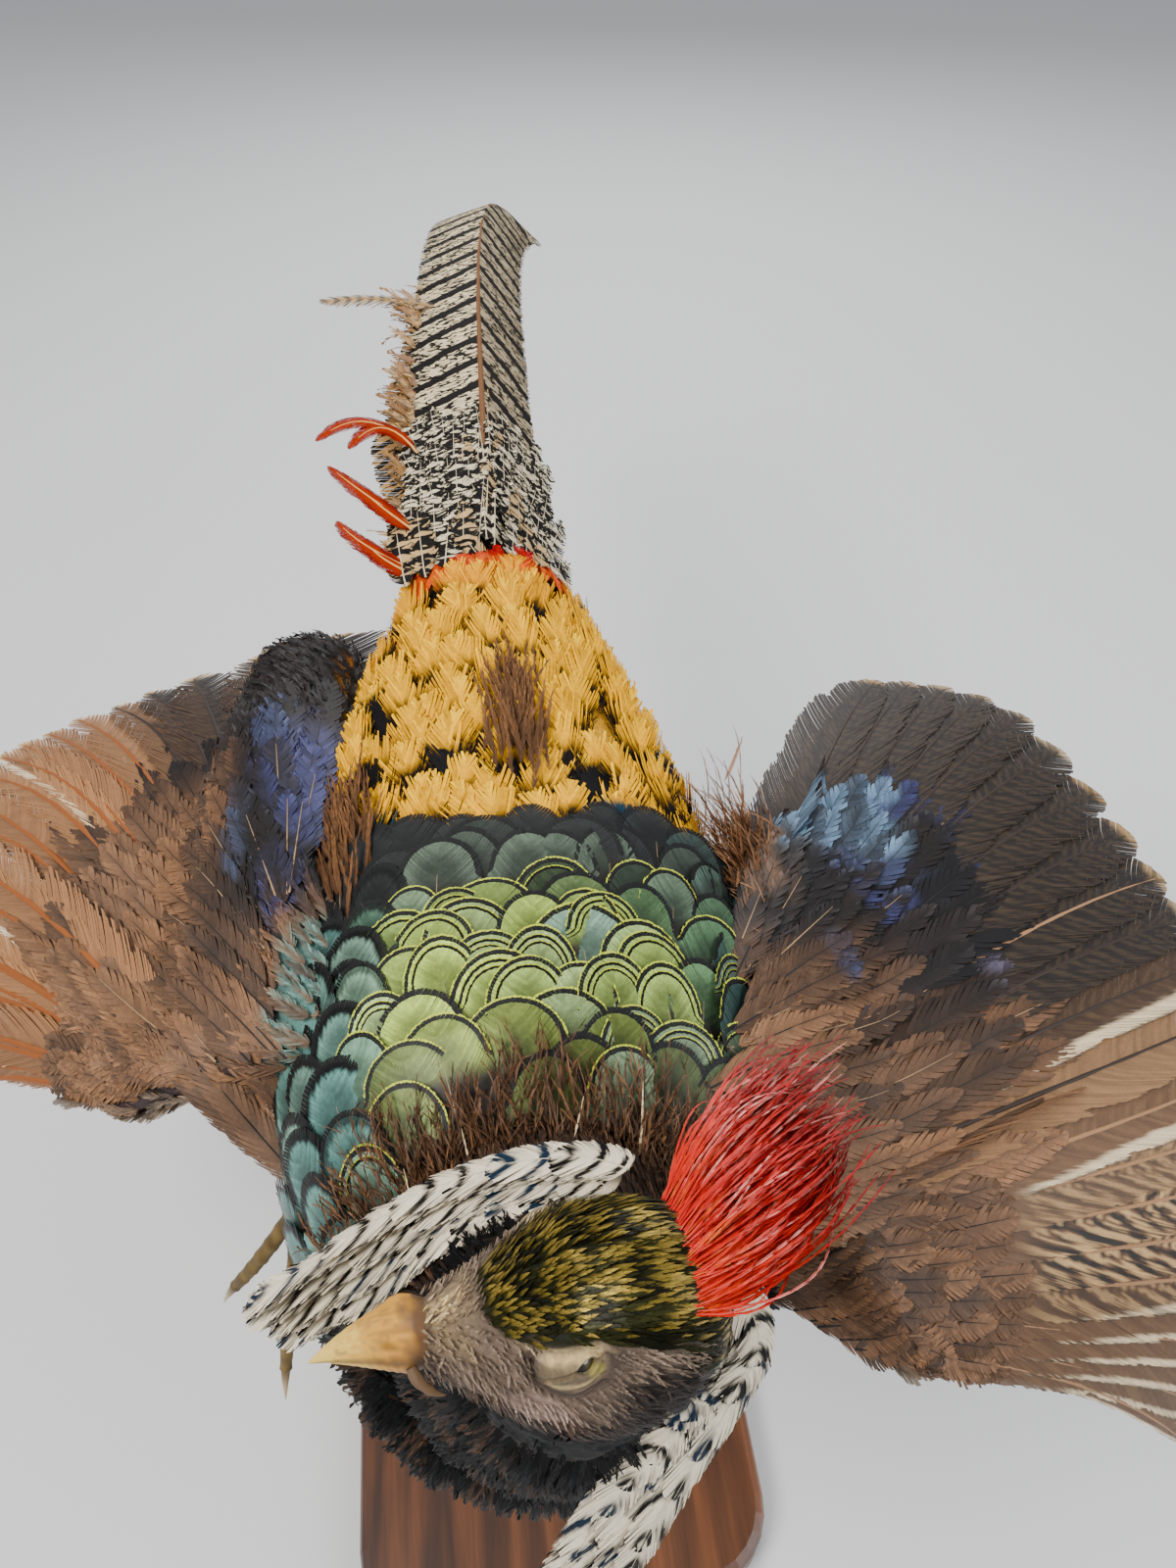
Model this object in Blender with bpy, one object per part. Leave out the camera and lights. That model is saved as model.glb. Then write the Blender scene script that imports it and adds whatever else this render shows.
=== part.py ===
"""A cock Lady Amherst's pheasant, life size, mounted in flight on a plain display stand.

The bird faces -Y with its left wing on +X, and its head is turned to its right. Metres, +Z up.
The origin is the middle of the stand's underside.
"""

import math

import bmesh
import bpy
from mathutils import Matrix, Vector
from mathutils.geometry import interpolate_bezier

# ---------------------------------------------------------------- driving dimensions
MANTLE = Vector((0.0, -0.045, 0.34))  # the highest point of the back; the bird is laid out from it
GAP = 0.0004  # clearance between neighbouring solids

BODY_RINGS, BODY_SIDES = 15, 20
KEEL = 0.16  # how much narrower than an ellipse the breast and belly are

HEAD_CENTRE = Vector((0.002, -0.1045, 0.041))  # from the mantle
HEAD_YAW, HEAD_PITCH, HEAD_ROLL = 182.0, 6.0, -20.0  # degrees; the beak points along -X
HEAD_BACK, HEAD_FRONT = -0.0235, 0.0280  # along the beak's axis, from the head's centre
EYE_AT, EYE_RADIUS = Vector((0.0042, 0.0115, 0.0050)), 0.0052  # forward, sideways, up
BILL_LENGTH, BILL_WIDTH = 0.0167, 0.0116

TAIL_START = 0.1725  # where the body ends, behind the mantle
TAIL_THICK = 0.0016
COVERTS_THICK, COVERTS_END = 0.010, 0.300
UNDERTAIL = (Vector((-0.004, 0.160, -0.029)), Vector((0.004, 0.262, -0.028)))

BASE_SIZE, BASE_THICK, BASE_CORNER = (0.17, 0.25), 0.018, 0.03
ROD_RADIUS, ROD_AT, ROD_DEEP = 0.004, Vector((0.0, 0.0)), 0.03

# name: base colour, roughness, metallic
PAINTS = {
    "mantle_green": ((0.05, 0.14, 0.09), 0.4, 0.4),
    "breast_black": ((0.01, 0.014, 0.014), 0.5, 0.1),
    "face_grey": ((0.16, 0.13, 0.10), 0.7, 0.0),
    "bill_horn": ((0.55, 0.37, 0.13), 0.4, 0.0),
    "eye_olive": ((0.10, 0.10, 0.05), 0.2, 0.0),
    "crest_red": ((0.50, 0.03, 0.02), 0.5, 0.0),
    "cape_white": ((0.70, 0.66, 0.58), 0.6, 0.0),
    "wing_blue": ((0.02, 0.03, 0.08), 0.45, 0.2),
    "wing_brown": ((0.19, 0.11, 0.06), 0.6, 0.0),
    "tail_barred": ((0.45, 0.42, 0.36), 0.6, 0.0),
    "covert_orange": ((0.60, 0.13, 0.02), 0.5, 0.0),
    "leg_down": ((0.17, 0.11, 0.07), 0.8, 0.0),
    "foot_scale": ((0.30, 0.22, 0.10), 0.5, 0.0),
    "claw_horn": ((0.12, 0.09, 0.06), 0.4, 0.0),
    "stand_wood": ((0.16, 0.08, 0.035), 0.4, 0.0),
    "stand_steel": ((0.45, 0.45, 0.46), 0.3, 1.0),
}


# ---------------------------------------------------------------- shared helpers
def clear_scene():
    for obj in list(bpy.data.objects):
        bpy.data.objects.remove(obj)


def paint(name):
    found = bpy.data.materials.get(name)
    if found:
        return found
    colour, roughness, metallic = PAINTS[name]
    material = bpy.data.materials.new(name)
    material.use_nodes = True
    shader = material.node_tree.nodes["Principled BSDF"]
    shader.inputs["Base Color"].default_value = (*colour, 1)
    shader.inputs["Roughness"].default_value = roughness
    shader.inputs["Metallic"].default_value = metallic
    return material


def add(name, bm, material, helper=False):
    """Links a bmesh as an object, with its faces turned outwards. A helper only cuts others."""
    bmesh.ops.recalc_face_normals(bm, faces=bm.faces)
    mesh = bpy.data.meshes.new(name)
    bm.to_mesh(mesh)
    bm.free()
    mesh.shade_smooth()
    mesh.materials.append(paint(material))
    obj = bpy.data.objects.new(name, mesh)
    bpy.context.scene.collection.objects.link(obj)
    if helper:
        obj.hide_render = True
        obj.display_type = "WIRE"
    return obj


def carve(piece, *neighbours, gap=GAP):
    """Cuts the neighbours' whole shapes, grown by the gap, out of the piece."""
    for neighbour in neighbours:
        bm = bmesh.new()
        bm.from_mesh(neighbour.data)
        bm.normal_update()
        moves = [vertex.normal * gap for vertex in bm.verts]
        for vertex, move in zip(bm.verts, moves):
            vertex.co += move
        cutter = add(f"cutter_{piece.name}_{neighbour.name}", bm, "claw_horn", helper=True)
        cut = piece.modifiers.new(f"clear_{neighbour.name}", "BOOLEAN")
        cut.operation = "DIFFERENCE"
        cut.object = cutter


def between(table, x):
    """A smooth value at x from a table of (x, value, ...) rows; each column is interpolated."""
    rows = list(table)
    if x <= rows[0][0]:
        return rows[0][1:]
    if x >= rows[-1][0]:
        return rows[-1][1:]
    i = max(k for k in range(len(rows) - 1) if rows[k][0] <= x)
    a, b = rows[i], rows[i + 1]
    before, after = rows[max(i - 1, 0)], rows[min(i + 2, len(rows) - 1)]
    t = (x - a[0]) / (b[0] - a[0])
    out = []
    for k in range(1, len(a)):
        slope_a = (b[k] - before[k]) / (b[0] - before[0])
        slope_b = (after[k] - a[k]) / (after[0] - a[0])
        span = b[0] - a[0]
        out.append(
            (2 * t**3 - 3 * t**2 + 1) * a[k]
            + (t**3 - 2 * t**2 + t) * span * slope_a
            + (3 * t**2 - 2 * t**3) * b[k]
            + (t**3 - t**2) * span * slope_b
        )
    return out


def bridge_rings(bm, rings, cap=True):
    """Joins rings of equal length into a closed skin, with flat or pointed ends."""
    made = [[bm.verts.new(point) for point in ring] for ring in rings]
    for low, high in zip(made, made[1:]):
        for k in range(len(low)):
            after = (k + 1) % len(low)
            bm.faces.new((low[k], low[after], high[after], high[k]))
    if cap:
        for ring in (made[0], made[-1]):
            middle = sum((vertex.co for vertex in ring), Vector()) / len(ring)
            hub = bm.verts.new(middle)
            for k in range(len(ring)):
                bm.faces.new((ring[k], ring[(k + 1) % len(ring)], hub))
    return made


def tube(points, radii, sides=8, flatten=1.0, up=Vector((0, 0, 1))):
    """A bmesh tube along points with a radius at each. flatten squashes it along up."""
    bm = bmesh.new()
    rings = []
    for i, point in enumerate(points):
        ahead = points[min(i + 1, len(points) - 1)] - points[max(i - 1, 0)]
        side = ahead.cross(up).normalized()
        over = side.cross(ahead).normalized()
        ring = []
        for k in range(sides):
            angle = 2 * math.pi * k / sides
            ring.append(
                point
                + side * (radii[i] * math.cos(angle))
                + over * (radii[i] * flatten * math.sin(angle))
            )
        rings.append(ring)
    bridge_rings(bm, rings)
    return bm


def arc(a, b, bow, count):
    """Points from a to b on a curve that bows by the vector bow at its middle."""
    return interpolate_bezier(a, a.lerp(b, 0.33) + bow * 1.33, a.lerp(b, 0.67) + bow * 1.33, b, count)


def sheet(grid, thickness):
    """A closed plate round a grid of points. thickness(u, v) is its thickness there, u and v from 0 to 1."""
    rows, columns = len(grid), len(grid[0])
    bm = bmesh.new()
    layers = {1: [], -1: []}
    for i in range(rows):
        for sign in layers:
            layers[sign].append([])
        for j in range(columns):
            along = grid[min(i + 1, rows - 1)][j] - grid[max(i - 1, 0)][j]
            across = grid[i][min(j + 1, columns - 1)] - grid[i][max(j - 1, 0)]
            normal = along.cross(across).normalized()
            half = thickness(i / (rows - 1), j / (columns - 1)) / 2
            for sign in layers:
                layers[sign][i].append(bm.verts.new(grid[i][j] + normal * (half * sign)))
    for sign in layers:
        layer = layers[sign]
        for i in range(rows - 1):
            for j in range(columns - 1):
                bm.faces.new((layer[i][j], layer[i + 1][j], layer[i + 1][j + 1], layer[i][j + 1]))
    rim = [(i, 0) for i in range(rows)]
    rim += [(rows - 1, j) for j in range(1, columns)]
    rim += [(i, columns - 1) for i in range(rows - 2, -1, -1)]
    rim += [(0, j) for j in range(columns - 2, 0, -1)]
    for (i, j), (m, n) in zip(rim, rim[1:] + rim[:1]):
        bm.faces.new((layers[1][i][j], layers[1][m][n], layers[-1][m][n], layers[-1][i][j]))
    return bm


# ---------------------------------------------------------------- trunk and neck
# along Y from the mantle: half width, top, bottom, height of the widest line
TRUNK = (
    (-0.104, 0.010, -0.062, -0.086, -0.074),
    (-0.100, 0.026, -0.050, -0.097, -0.074),
    (-0.088, 0.044, -0.034, -0.109, -0.070),
    (-0.065, 0.058, -0.015, -0.118, -0.062),
    (-0.030, 0.067, -0.002, -0.122, -0.054),
    (0.020, 0.069, 0.000, -0.118, -0.050),
    (0.060, 0.065, -0.001, -0.106, -0.044),
    (0.100, 0.055, 0.000, -0.086, -0.034),
    (0.140, 0.041, 0.002, -0.061, -0.022),
    (TAIL_START, 0.028, 0.003, -0.037, -0.014),
)


def trunk():
    start, end = TRUNK[0][0], TRUNK[-1][0]
    rings = []
    for i in range(BODY_RINGS):
        share = i / (BODY_RINGS - 1)
        y = start + (end - start) * (1 - math.cos(share * math.pi * 0.82)) / (1 - math.cos(math.pi * 0.82))
        half, top, bottom, middle = between(TRUNK, y)
        ring = []
        for k in range(BODY_SIDES):
            across, up = math.cos(2 * math.pi * k / BODY_SIDES), math.sin(2 * math.pi * k / BODY_SIDES)
            reach, width = (top - middle, half) if up > 0 else (middle - bottom, half * (1 + KEEL * up))
            ring.append(MANTLE + Vector((width * across, y, middle + reach * up)))
        rings.append(ring)
    bm = bmesh.new()
    bridge_rings(bm, rings)
    return add("trunk", bm, "mantle_green")


# from the mantle: place on the neck's centre line, radius
NECK = (
    (Vector((0.000, -0.052, -0.052)), 0.043),
    (Vector((-0.001, -0.069, -0.035)), 0.0405),
    (Vector((-0.001, -0.083, -0.016)), 0.0350),
    (Vector((0.000, -0.093, 0.003)), 0.0280),
    (Vector((0.001, -0.100, 0.020)), 0.0235),
    (Vector((0.002, -0.103, 0.034)), 0.0190),
)


def neck(body):
    points = [MANTLE + place for place, _ in NECK]
    bm = tube(points, [radius for _, radius in NECK], sides=16, up=Vector((0, -1, 0)))
    piece = add("neck", bm, "breast_black")
    carve(piece, body)
    return piece


# ---------------------------------------------------------------- head
def head_frame():
    """Matrix from the head's own axes (forward, left, up) to the world."""
    turn = Matrix.Rotation(math.radians(HEAD_YAW), 4, "Z")
    nod = Matrix.Rotation(math.radians(-HEAD_PITCH), 4, "Y")
    tilt = Matrix.Rotation(math.radians(-HEAD_ROLL), 4, "X")
    return Matrix.Translation(MANTLE + HEAD_CENTRE) @ turn @ nod @ tilt


# along the beak's axis: half width, crown, throat, height of the widest line
HEAD = (
    (-0.0235, 0.0040, 0.0050, -0.0030, 0.0005),
    (-0.0225, 0.0085, 0.0100, -0.0080, 0.0005),
    (-0.0190, 0.0130, 0.0150, -0.0130, 0.0000),
    (-0.0120, 0.0165, 0.0185, -0.0175, -0.0010),
    (-0.0030, 0.0178, 0.0195, -0.0190, -0.0015),
    (0.0060, 0.0168, 0.0178, -0.0175, -0.0010),
    (0.0130, 0.0130, 0.0132, -0.0140, -0.0010),
    (0.0190, 0.0098, 0.0094, -0.0104, -0.0005),
    (0.0240, 0.0074, 0.0074, -0.0076, 0.0000),
    (0.0280, 0.0060, 0.0064, -0.0058, 0.0000),
)


def head(frame, eyes):
    rings = []
    for i in range(11):
        share = (1 - math.cos(i / 10 * math.pi * 0.8)) / (1 - math.cos(math.pi * 0.8))
        x = HEAD_BACK + (HEAD_FRONT - HEAD_BACK) * share
        half, crown, throat, middle = between(HEAD, x)
        ring = []
        for k in range(18):
            angle = 2 * math.pi * k / 18
            reach = crown - middle if math.sin(angle) > 0 else middle - throat
            ring.append(frame @ Vector((x, half * math.cos(angle), middle + reach * math.sin(angle))))
        rings.append(ring)
    bm = bmesh.new()
    bridge_rings(bm, rings)
    piece = add("head", bm, "face_grey")
    carve(piece, *eyes, gap=0.0003)
    return piece


def eye(name, frame, side):
    bm = bmesh.new()
    bmesh.ops.create_uvsphere(bm, u_segments=10, v_segments=7, radius=EYE_RADIUS)
    spot = frame @ Vector((EYE_AT.x, EYE_AT.y * side, EYE_AT.z))
    bmesh.ops.translate(bm, verts=bm.verts, vec=spot)
    return add(name, bm, "eye_olive")


def bill_half(name, frame, upper):
    """One half of the bill, a curved half cone with a flat side towards the other half."""
    rings = []
    length = BILL_LENGTH if upper else BILL_LENGTH - 0.0035
    for i in range(7):
        share = i / 6
        x = HEAD_FRONT + GAP + length * share
        width = BILL_WIDTH / 2 * (1 - 0.97 * share**1.3)
        edge = 0.0002 if upper else -0.0002
        droop = -0.0034 * share**2.2
        depth = (0.0060 if upper else -0.0050) * (1 - 0.93 * share**1.6)
        ring = []
        for k in range(10):
            angle = math.pi * k / 9
            ring.append(
                frame @ Vector((x, width * math.cos(angle), edge + droop + depth * math.sin(angle)))
            )
        rings.append(ring)
    bm = bmesh.new()
    bridge_rings(bm, rings)
    return add(name, bm, "bill_horn")


def crest(frame, skull):
    """The red crest, a flattened plume that lies back from the hind crown."""
    root = frame @ Vector((-0.010, 0.0, 0.010))
    tip = MANTLE + Vector((0.060, -0.073, 0.027))
    points = arc(root, tip, Vector((0.0, 0.0, 0.006)), 8)
    radii = [0.007, 0.0095, 0.0115, 0.013, 0.0135, 0.012, 0.009, 0.003]
    bm = tube(points, radii, sides=12, flatten=0.42, up=Vector((-0.2, 0.3, 1)).normalized())
    piece = add("crest", bm, "crest_red")
    carve(piece, skull)
    return piece


# ---------------------------------------------------------------- cape
# Each cape is a band between two edges; places from the mantle, root first.
CAPE_LEFT = (
    ((0.0290, -0.1000, 0.0400), (0.0330, -0.1090, 0.0310), (0.0265, -0.1150, 0.0200),
     (0.0110, -0.1270, -0.0080), (0.0020, -0.1340, -0.0260)),
    ((0.0240, -0.1030, 0.0270), (0.0190, -0.1130, 0.0240), (0.0090, -0.1180, 0.0150),
     (-0.0010, -0.1265, -0.0080), (-0.0080, -0.1310, -0.0230)),
)
CAPE_RIGHT = (
    ((0.0140, -0.0800, 0.0420), (0.0040, -0.0720, 0.0340), (-0.0180, -0.0650, 0.0170),
     (-0.0400, -0.0640, -0.0030), (-0.0600, -0.0690, -0.0150)),
    ((0.0040, -0.0870, 0.0300), (-0.0010, -0.0830, 0.0240), (-0.0180, -0.0760, 0.0080),
     (-0.0360, -0.0740, -0.0110), (-0.0520, -0.0740, -0.0230)),
)
CAPE_THICK = (0.0026, 0.0010)


def draped(place, clear):
    """The place, moved out of the neck and the head until it is clear of their middles by their radius."""
    for _ in range(3):
        for (low, low_radius), (high, high_radius) in zip(NECK, NECK[1:]):
            along = high - low
            share = min(1.0, max(0.0, (place - low).dot(along) / along.length_squared))
            away = place - low.lerp(high, share)
            needed = low_radius + (high_radius - low_radius) * share + clear
            if away.length < needed:
                place = place + away.normalized() * (needed - away.length)
        away = place - HEAD_CENTRE
        if away.length < 0.0195 + clear:
            place = place + away.normalized() * (0.0195 + clear - away.length)
    return place


def eased(grid, passes=4):
    """The grid with each point drawn towards the average of its neighbours."""
    rows, columns = len(grid), len(grid[0])
    for _ in range(passes):
        fresh = []
        for i in range(rows):
            fresh.append([])
            for j in range(columns):
                near = [grid[max(i - 1, 0)][j], grid[min(i + 1, rows - 1)][j]]
                near += [grid[i][max(j - 1, 0)], grid[i][min(j + 1, columns - 1)]]
                fresh[-1].append(grid[i][j].lerp(sum(near, Vector()) / 4, 0.6))
        grid = fresh
    return grid


def cape(name, edges, skull, throat):
    """A band of cape feathers, arched across its width, between an upper and a lower edge."""
    grid = []
    for i in range(9):
        at = i / 8 * (len(edges[0]) - 1)
        upper, lower = (Vector(between([(k, *place) for k, place in enumerate(edge)], at)) for edge in edges)
        row = [draped(upper.lerp(lower, j / 4), CAPE_THICK[0]) for j in range(5)]
        grid.append([MANTLE + place for place in row])
    bm = sheet(eased(grid), lambda u, v: CAPE_THICK[0] + (CAPE_THICK[1] - CAPE_THICK[0]) * u)
    piece = add(name, bm, "cape_white")
    carve(piece, skull, throat)
    return piece


# ---------------------------------------------------------------- wings
PRIMARIES, SECONDARIES = 10, 12
FEATHERS = PRIMARIES + SECONDARIES

# Places are from the mantle. A fan's rows are the feather's number, from the outermost primary, and its tip.
WINGS = {
    "left": {
        "shoulder": Vector((0.042, -0.034, -0.027)),
        "elbow": Vector((0.098, 0.041, -0.042)),
        "wrist": Vector((0.071, -0.051, -0.050)),
        "finger": Vector((0.090, -0.083, -0.072)),
        "inner": Vector((0.070, 0.034, -0.034)),
        "scapulars": ((Vector((0.086, 0.060, -0.038)), 0.017, 0.008),),
        "tips": (
            (0, 0.202, -0.086, -0.180),
            (3, 0.238, -0.068, -0.160),
            (6, 0.256, -0.036, -0.128),
            (9, 0.250, 0.004, -0.100),
            (11, 0.238, 0.034, -0.086),
            (13, 0.229, 0.064, -0.077),
            (15, 0.221, 0.102, -0.072),
            (17, 0.209, 0.144, -0.070),
            (19, 0.182, 0.160, -0.066),
            (21.5, 0.145, 0.162, -0.060),
        ),
    },
    "right": {
        "shoulder": Vector((-0.046, 0.008, -0.028)),
        "elbow": Vector((-0.089, 0.074, -0.040)),
        "wrist": Vector((-0.096, 0.010, -0.046)),
        "finger": Vector((-0.118, 0.013, -0.066)),
        "inner": Vector((-0.056, 0.078, -0.032)),
        "scapulars": (
            (Vector((-0.070, 0.060, -0.028)), 0.022, 0.013),
            (Vector((-0.070, 0.120, -0.030)), 0.024, 0.013),
            (Vector((-0.066, 0.166, -0.034)), 0.020, 0.009),
        ),
        "tips": (
            (0, -0.224, 0.066, -0.138),
            (3, -0.238, 0.090, -0.122),
            (6, -0.234, 0.118, -0.104),
            (9, -0.222, 0.143, -0.088),
            (11, -0.206, 0.160, -0.078),
            (13, -0.190, 0.172, -0.070),
            (15, -0.172, 0.178, -0.066),
            (17, -0.150, 0.192, -0.067),
            (19, -0.118, 0.202, -0.064),
            (21.5, -0.046, 0.204, -0.046),
        ),
    },
}
FAN_CURVE = 0.07  # how far a shaft bows up from a straight line, as a share of its length
FAN_SHARES = (0.0, 0.38, 0.76, 1.0)
FAN_THICK = ((0.0, 0.0070), (0.30, 0.0062), (0.62, 0.0034), (0.86, 0.0016), (1.0, 0.0009))


def fan_root(wing, number):
    """Where feather number grows: along the hand, along the forearm, then inwards from the elbow."""
    line = (
        (0, *wing["finger"]),
        (PRIMARIES - 0.5, *wing["wrist"]),
        (PRIMARIES + SECONDARIES - 4.5, *wing["elbow"]),
        (FEATHERS, *wing["inner"]),
    )
    k = max(i for i in range(len(line) - 1) if line[i][0] <= number)
    share = (number - line[k][0]) / (line[k + 1][0] - line[k][0])
    return MANTLE + Vector(line[k][1:]).lerp(Vector(line[k + 1][1:]), share)


def fan_point(wing, number, share):
    """A point on the wing's middle surface, share of the way along the feather of that number."""
    root = fan_root(wing, number)
    tip = MANTLE + Vector(between(wing["tips"], number))
    bow = FAN_CURVE * (tip - root).length * 4 * share * (1 - share)
    return root.lerp(tip, share) + Vector((0, 0, bow))


def tip_share(number):
    """The scalloped edge: 1 at a feather's shaft, less halfway between two."""
    off = abs(number - round(number))
    return 1 - 0.11 * (2 * off) ** 2


def fan_plate(name, wing, first, last, material, neighbours):
    steps = round((last - first) * 3)
    grid = []
    for i in range(steps + 1):
        number = first + (last - first) * i / steps
        grid.append([fan_point(wing, number, tip_share(number) * share) for share in FAN_SHARES])

    def thickness(u, v):
        number = first + (last - first) * u
        full = between(FAN_THICK, FAN_SHARES[round(v * (len(FAN_SHARES) - 1))])[0]
        return max(FAN_THICK[-1][1], full * min(1.0, 0.25 + number / 4))

    bm = sheet(grid, thickness)
    piece = add(name, bm, material)
    carve(piece, *neighbours)
    return piece


def pads(name, blobs, material, neighbours):
    """The hull of flattened balls, each (place, radius, height), cut clear of its neighbours."""
    balls = bmesh.new()
    for place, radius, height in blobs:
        made = bmesh.ops.create_icosphere(balls, subdivisions=2, radius=1.0)
        shape = Matrix.Translation(MANTLE + place) @ Matrix.Diagonal((radius, radius, height, 1))
        bmesh.ops.transform(balls, matrix=shape, verts=made["verts"])
    bm = bmesh.new()
    for vertex in balls.verts:
        bm.verts.new(vertex.co)
    balls.free()
    hull = bmesh.ops.convex_hull(bm, input=bm.verts)
    spare = hull["geom_interior"] + hull["geom_unused"]
    inside = {part for part in spare if isinstance(part, bmesh.types.BMVert)}
    bmesh.ops.delete(bm, geom=list(inside), context="VERTS")
    piece = add(name, bm, material)
    carve(piece, *neighbours)
    return piece


def wing_pieces(label, body):
    wing = WINGS[label]
    arm = pads(
        f"wing_{label}_arm",
        (
            (wing["shoulder"], 0.019, 0.013),
            (wing["elbow"], 0.015, 0.009),
            (wing["wrist"], 0.011, 0.007),
            *wing["scapulars"],
        ),
        "wing_blue",
        [body],
    )
    hand = pads(
        f"wing_{label}_hand",
        ((wing["wrist"], 0.009, 0.006), (wing["finger"], 0.006, 0.004)),
        "wing_brown",
        [arm],
    )
    split = PRIMARIES - 0.5
    clear = [body, arm, hand]
    outer = fan_plate(f"wing_{label}_primaries", wing, 0, split - 0.04, "wing_brown", clear)
    fan_plate(f"wing_{label}_secondaries", wing, split + 0.04, FEATHERS - 0.5, "wing_brown", [*clear, outer])


# ---------------------------------------------------------------- tail
# along Y from the mantle: the shaft's place across and its height
TAIL_LINE = (
    (TAIL_START, 0.000, -0.004),
    (0.260, 0.006, 0.000),
    (0.350, 0.010, 0.002),
    (0.430, 0.014, 0.001),
    (0.500, 0.019, -0.003),
    (0.560, 0.026, -0.011),
    (0.600, 0.034, -0.023),
    (0.626, 0.047, -0.041),
    (0.640, 0.061, -0.064),
)
LEFT_SLOPE, RIGHT_SLOPE = 48.0, 14.0  # degrees; the roof of the tail leans over to the bird's left
TAIL_END = TAIL_LINE[-1][0]


def tail_place(y, across, lift):
    """A point on or over the tail's roof: across is the distance from the ridge, + to the bird's left."""
    x, z = between(TAIL_LINE, y)
    slope = math.radians(LEFT_SLOPE if across > 0 else RIGHT_SLOPE)
    ridge = abs(across) < 1e-6
    if ridge:
        normal = Vector((0, 0, 1 if lift > 0 else 1.5))
    else:
        normal = Vector((math.copysign(math.sin(slope), across), 0, math.cos(slope)))
    place = Vector((x + across * math.cos(slope), y, z - abs(across) * math.sin(slope)))
    return MANTLE + place + normal * lift


def tail_grid(start, end, inner, outer, lift, rows, columns, rounded):
    """One blade of the tail, from the distance inner to outer across, with a rounded tip."""
    grid = []
    for i in range(rows):
        share = i / (rows - 1)
        left = 1 - share
        taper = max(0.14, math.sqrt(1 - (1 - left / rounded) ** 2)) if left < rounded else 1.0
        swell = 0.84 + 0.16 * math.sin(math.pi * min(1.0, share * 1.2)) - 0.20 * share
        middle = (inner + outer) / 2 * swell
        grid.append([])
        for k in range(columns):
            across = (inner + (outer - inner) * k / (columns - 1)) * swell
            place = tail_place(start + (end - start) * share, middle + (across - middle) * taper, lift(share))
            grid[-1].append(place)
    return grid


def tail(body):
    start = TAIL_START + GAP
    step = TAIL_THICK + GAP

    def even(u, v):
        return TAIL_THICK

    centre = tail_grid(start, TAIL_END, -0.034, 0.034, lambda share: 0.0, 17, 5, 0.12)
    add("tail_centre", sheet(centre, even), "tail_barred")
    sides = (("tail_right", -0.004, -0.049, 0.490), ("tail_left", 0.004, 0.044, 0.420))
    for name, inner, outer, end in sides:
        side = tail_grid(start, end, inner, outer, lambda share: -step, 11, 4, 0.2)
        add(name, sheet(side, even), "tail_barred")

    # the coverts hug the tail from above, thick at the rump and thin behind
    def thickness(u, v):
        return COVERTS_THICK + (0.0012 - COVERTS_THICK) * u

    def lift(share):
        return TAIL_THICK / 2 + GAP + thickness(share, 0) / 2

    cover = sheet(tail_grid(start, COVERTS_END, -0.035, 0.035, lift, 7, 5, 0.3), thickness)
    carve(add("tail_coverts", cover, "tail_barred"), bpy.data.objects["tail_centre"])

    # and a smaller tuft fills the roof from below
    points = arc(MANTLE + UNDERTAIL[0], MANTLE + UNDERTAIL[1], Vector((0, 0, -0.002)), 6)
    tuft = tube(points, [0.015, 0.015, 0.0135, 0.011, 0.007, 0.002], sides=10, flatten=0.5)
    carve(add("tail_undercoverts", tuft, "tail_barred"), body, bpy.data.objects["tail_left"])


# root, tip and bow of each long orange covert, from the mantle
ORANGE_COVERTS = (
    (Vector((-0.0220, 0.262, 0.000)), Vector((-0.0600, 0.254, 0.010)), Vector((0.000, 0.012, 0.004))),
    (Vector((-0.0240, 0.204, 0.000)), Vector((-0.0550, 0.240, 0.007)), Vector((-0.002, -0.004, 0.004))),
    (Vector((-0.0240, 0.178, -0.002)), Vector((-0.0510, 0.202, 0.006)), Vector((-0.003, -0.004, 0.003))),
)
STRAY_FEATHER = (
    Vector((-0.0100, 0.408, -0.004)),
    Vector((-0.0660, 0.416, -0.002)),
    Vector((0.000, 0.007, 0.000)),
)
STRAY_RADII = (0.0012, 0.0040, 0.0060, 0.0065, 0.0060, 0.0045, 0.0008)
COVERT_RADII = (0.0014, 0.0040, 0.0052, 0.0052, 0.0044, 0.0030, 0.0008)


def loose_feathers():
    """The long orange coverts and one barred feather that stand out from the tail's right side."""
    tail_parts = [bpy.data.objects[name] for name in ("tail_coverts", "tail_centre", "tail_right")]
    plans = [
        (f"covert_orange_{number}", plan, COVERT_RADII, "covert_orange")
        for number, plan in enumerate(ORANGE_COVERTS, 1)
    ]
    plans.append(("tail_stray_feather", STRAY_FEATHER, STRAY_RADII, "tail_barred"))
    for name, (root, tip, bow), radii, material in plans:
        points = arc(MANTLE + root, MANTLE + tip, bow, len(radii))
        carve(add(name, tube(points, radii, sides=8, flatten=0.2), material), *tail_parts)


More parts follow.
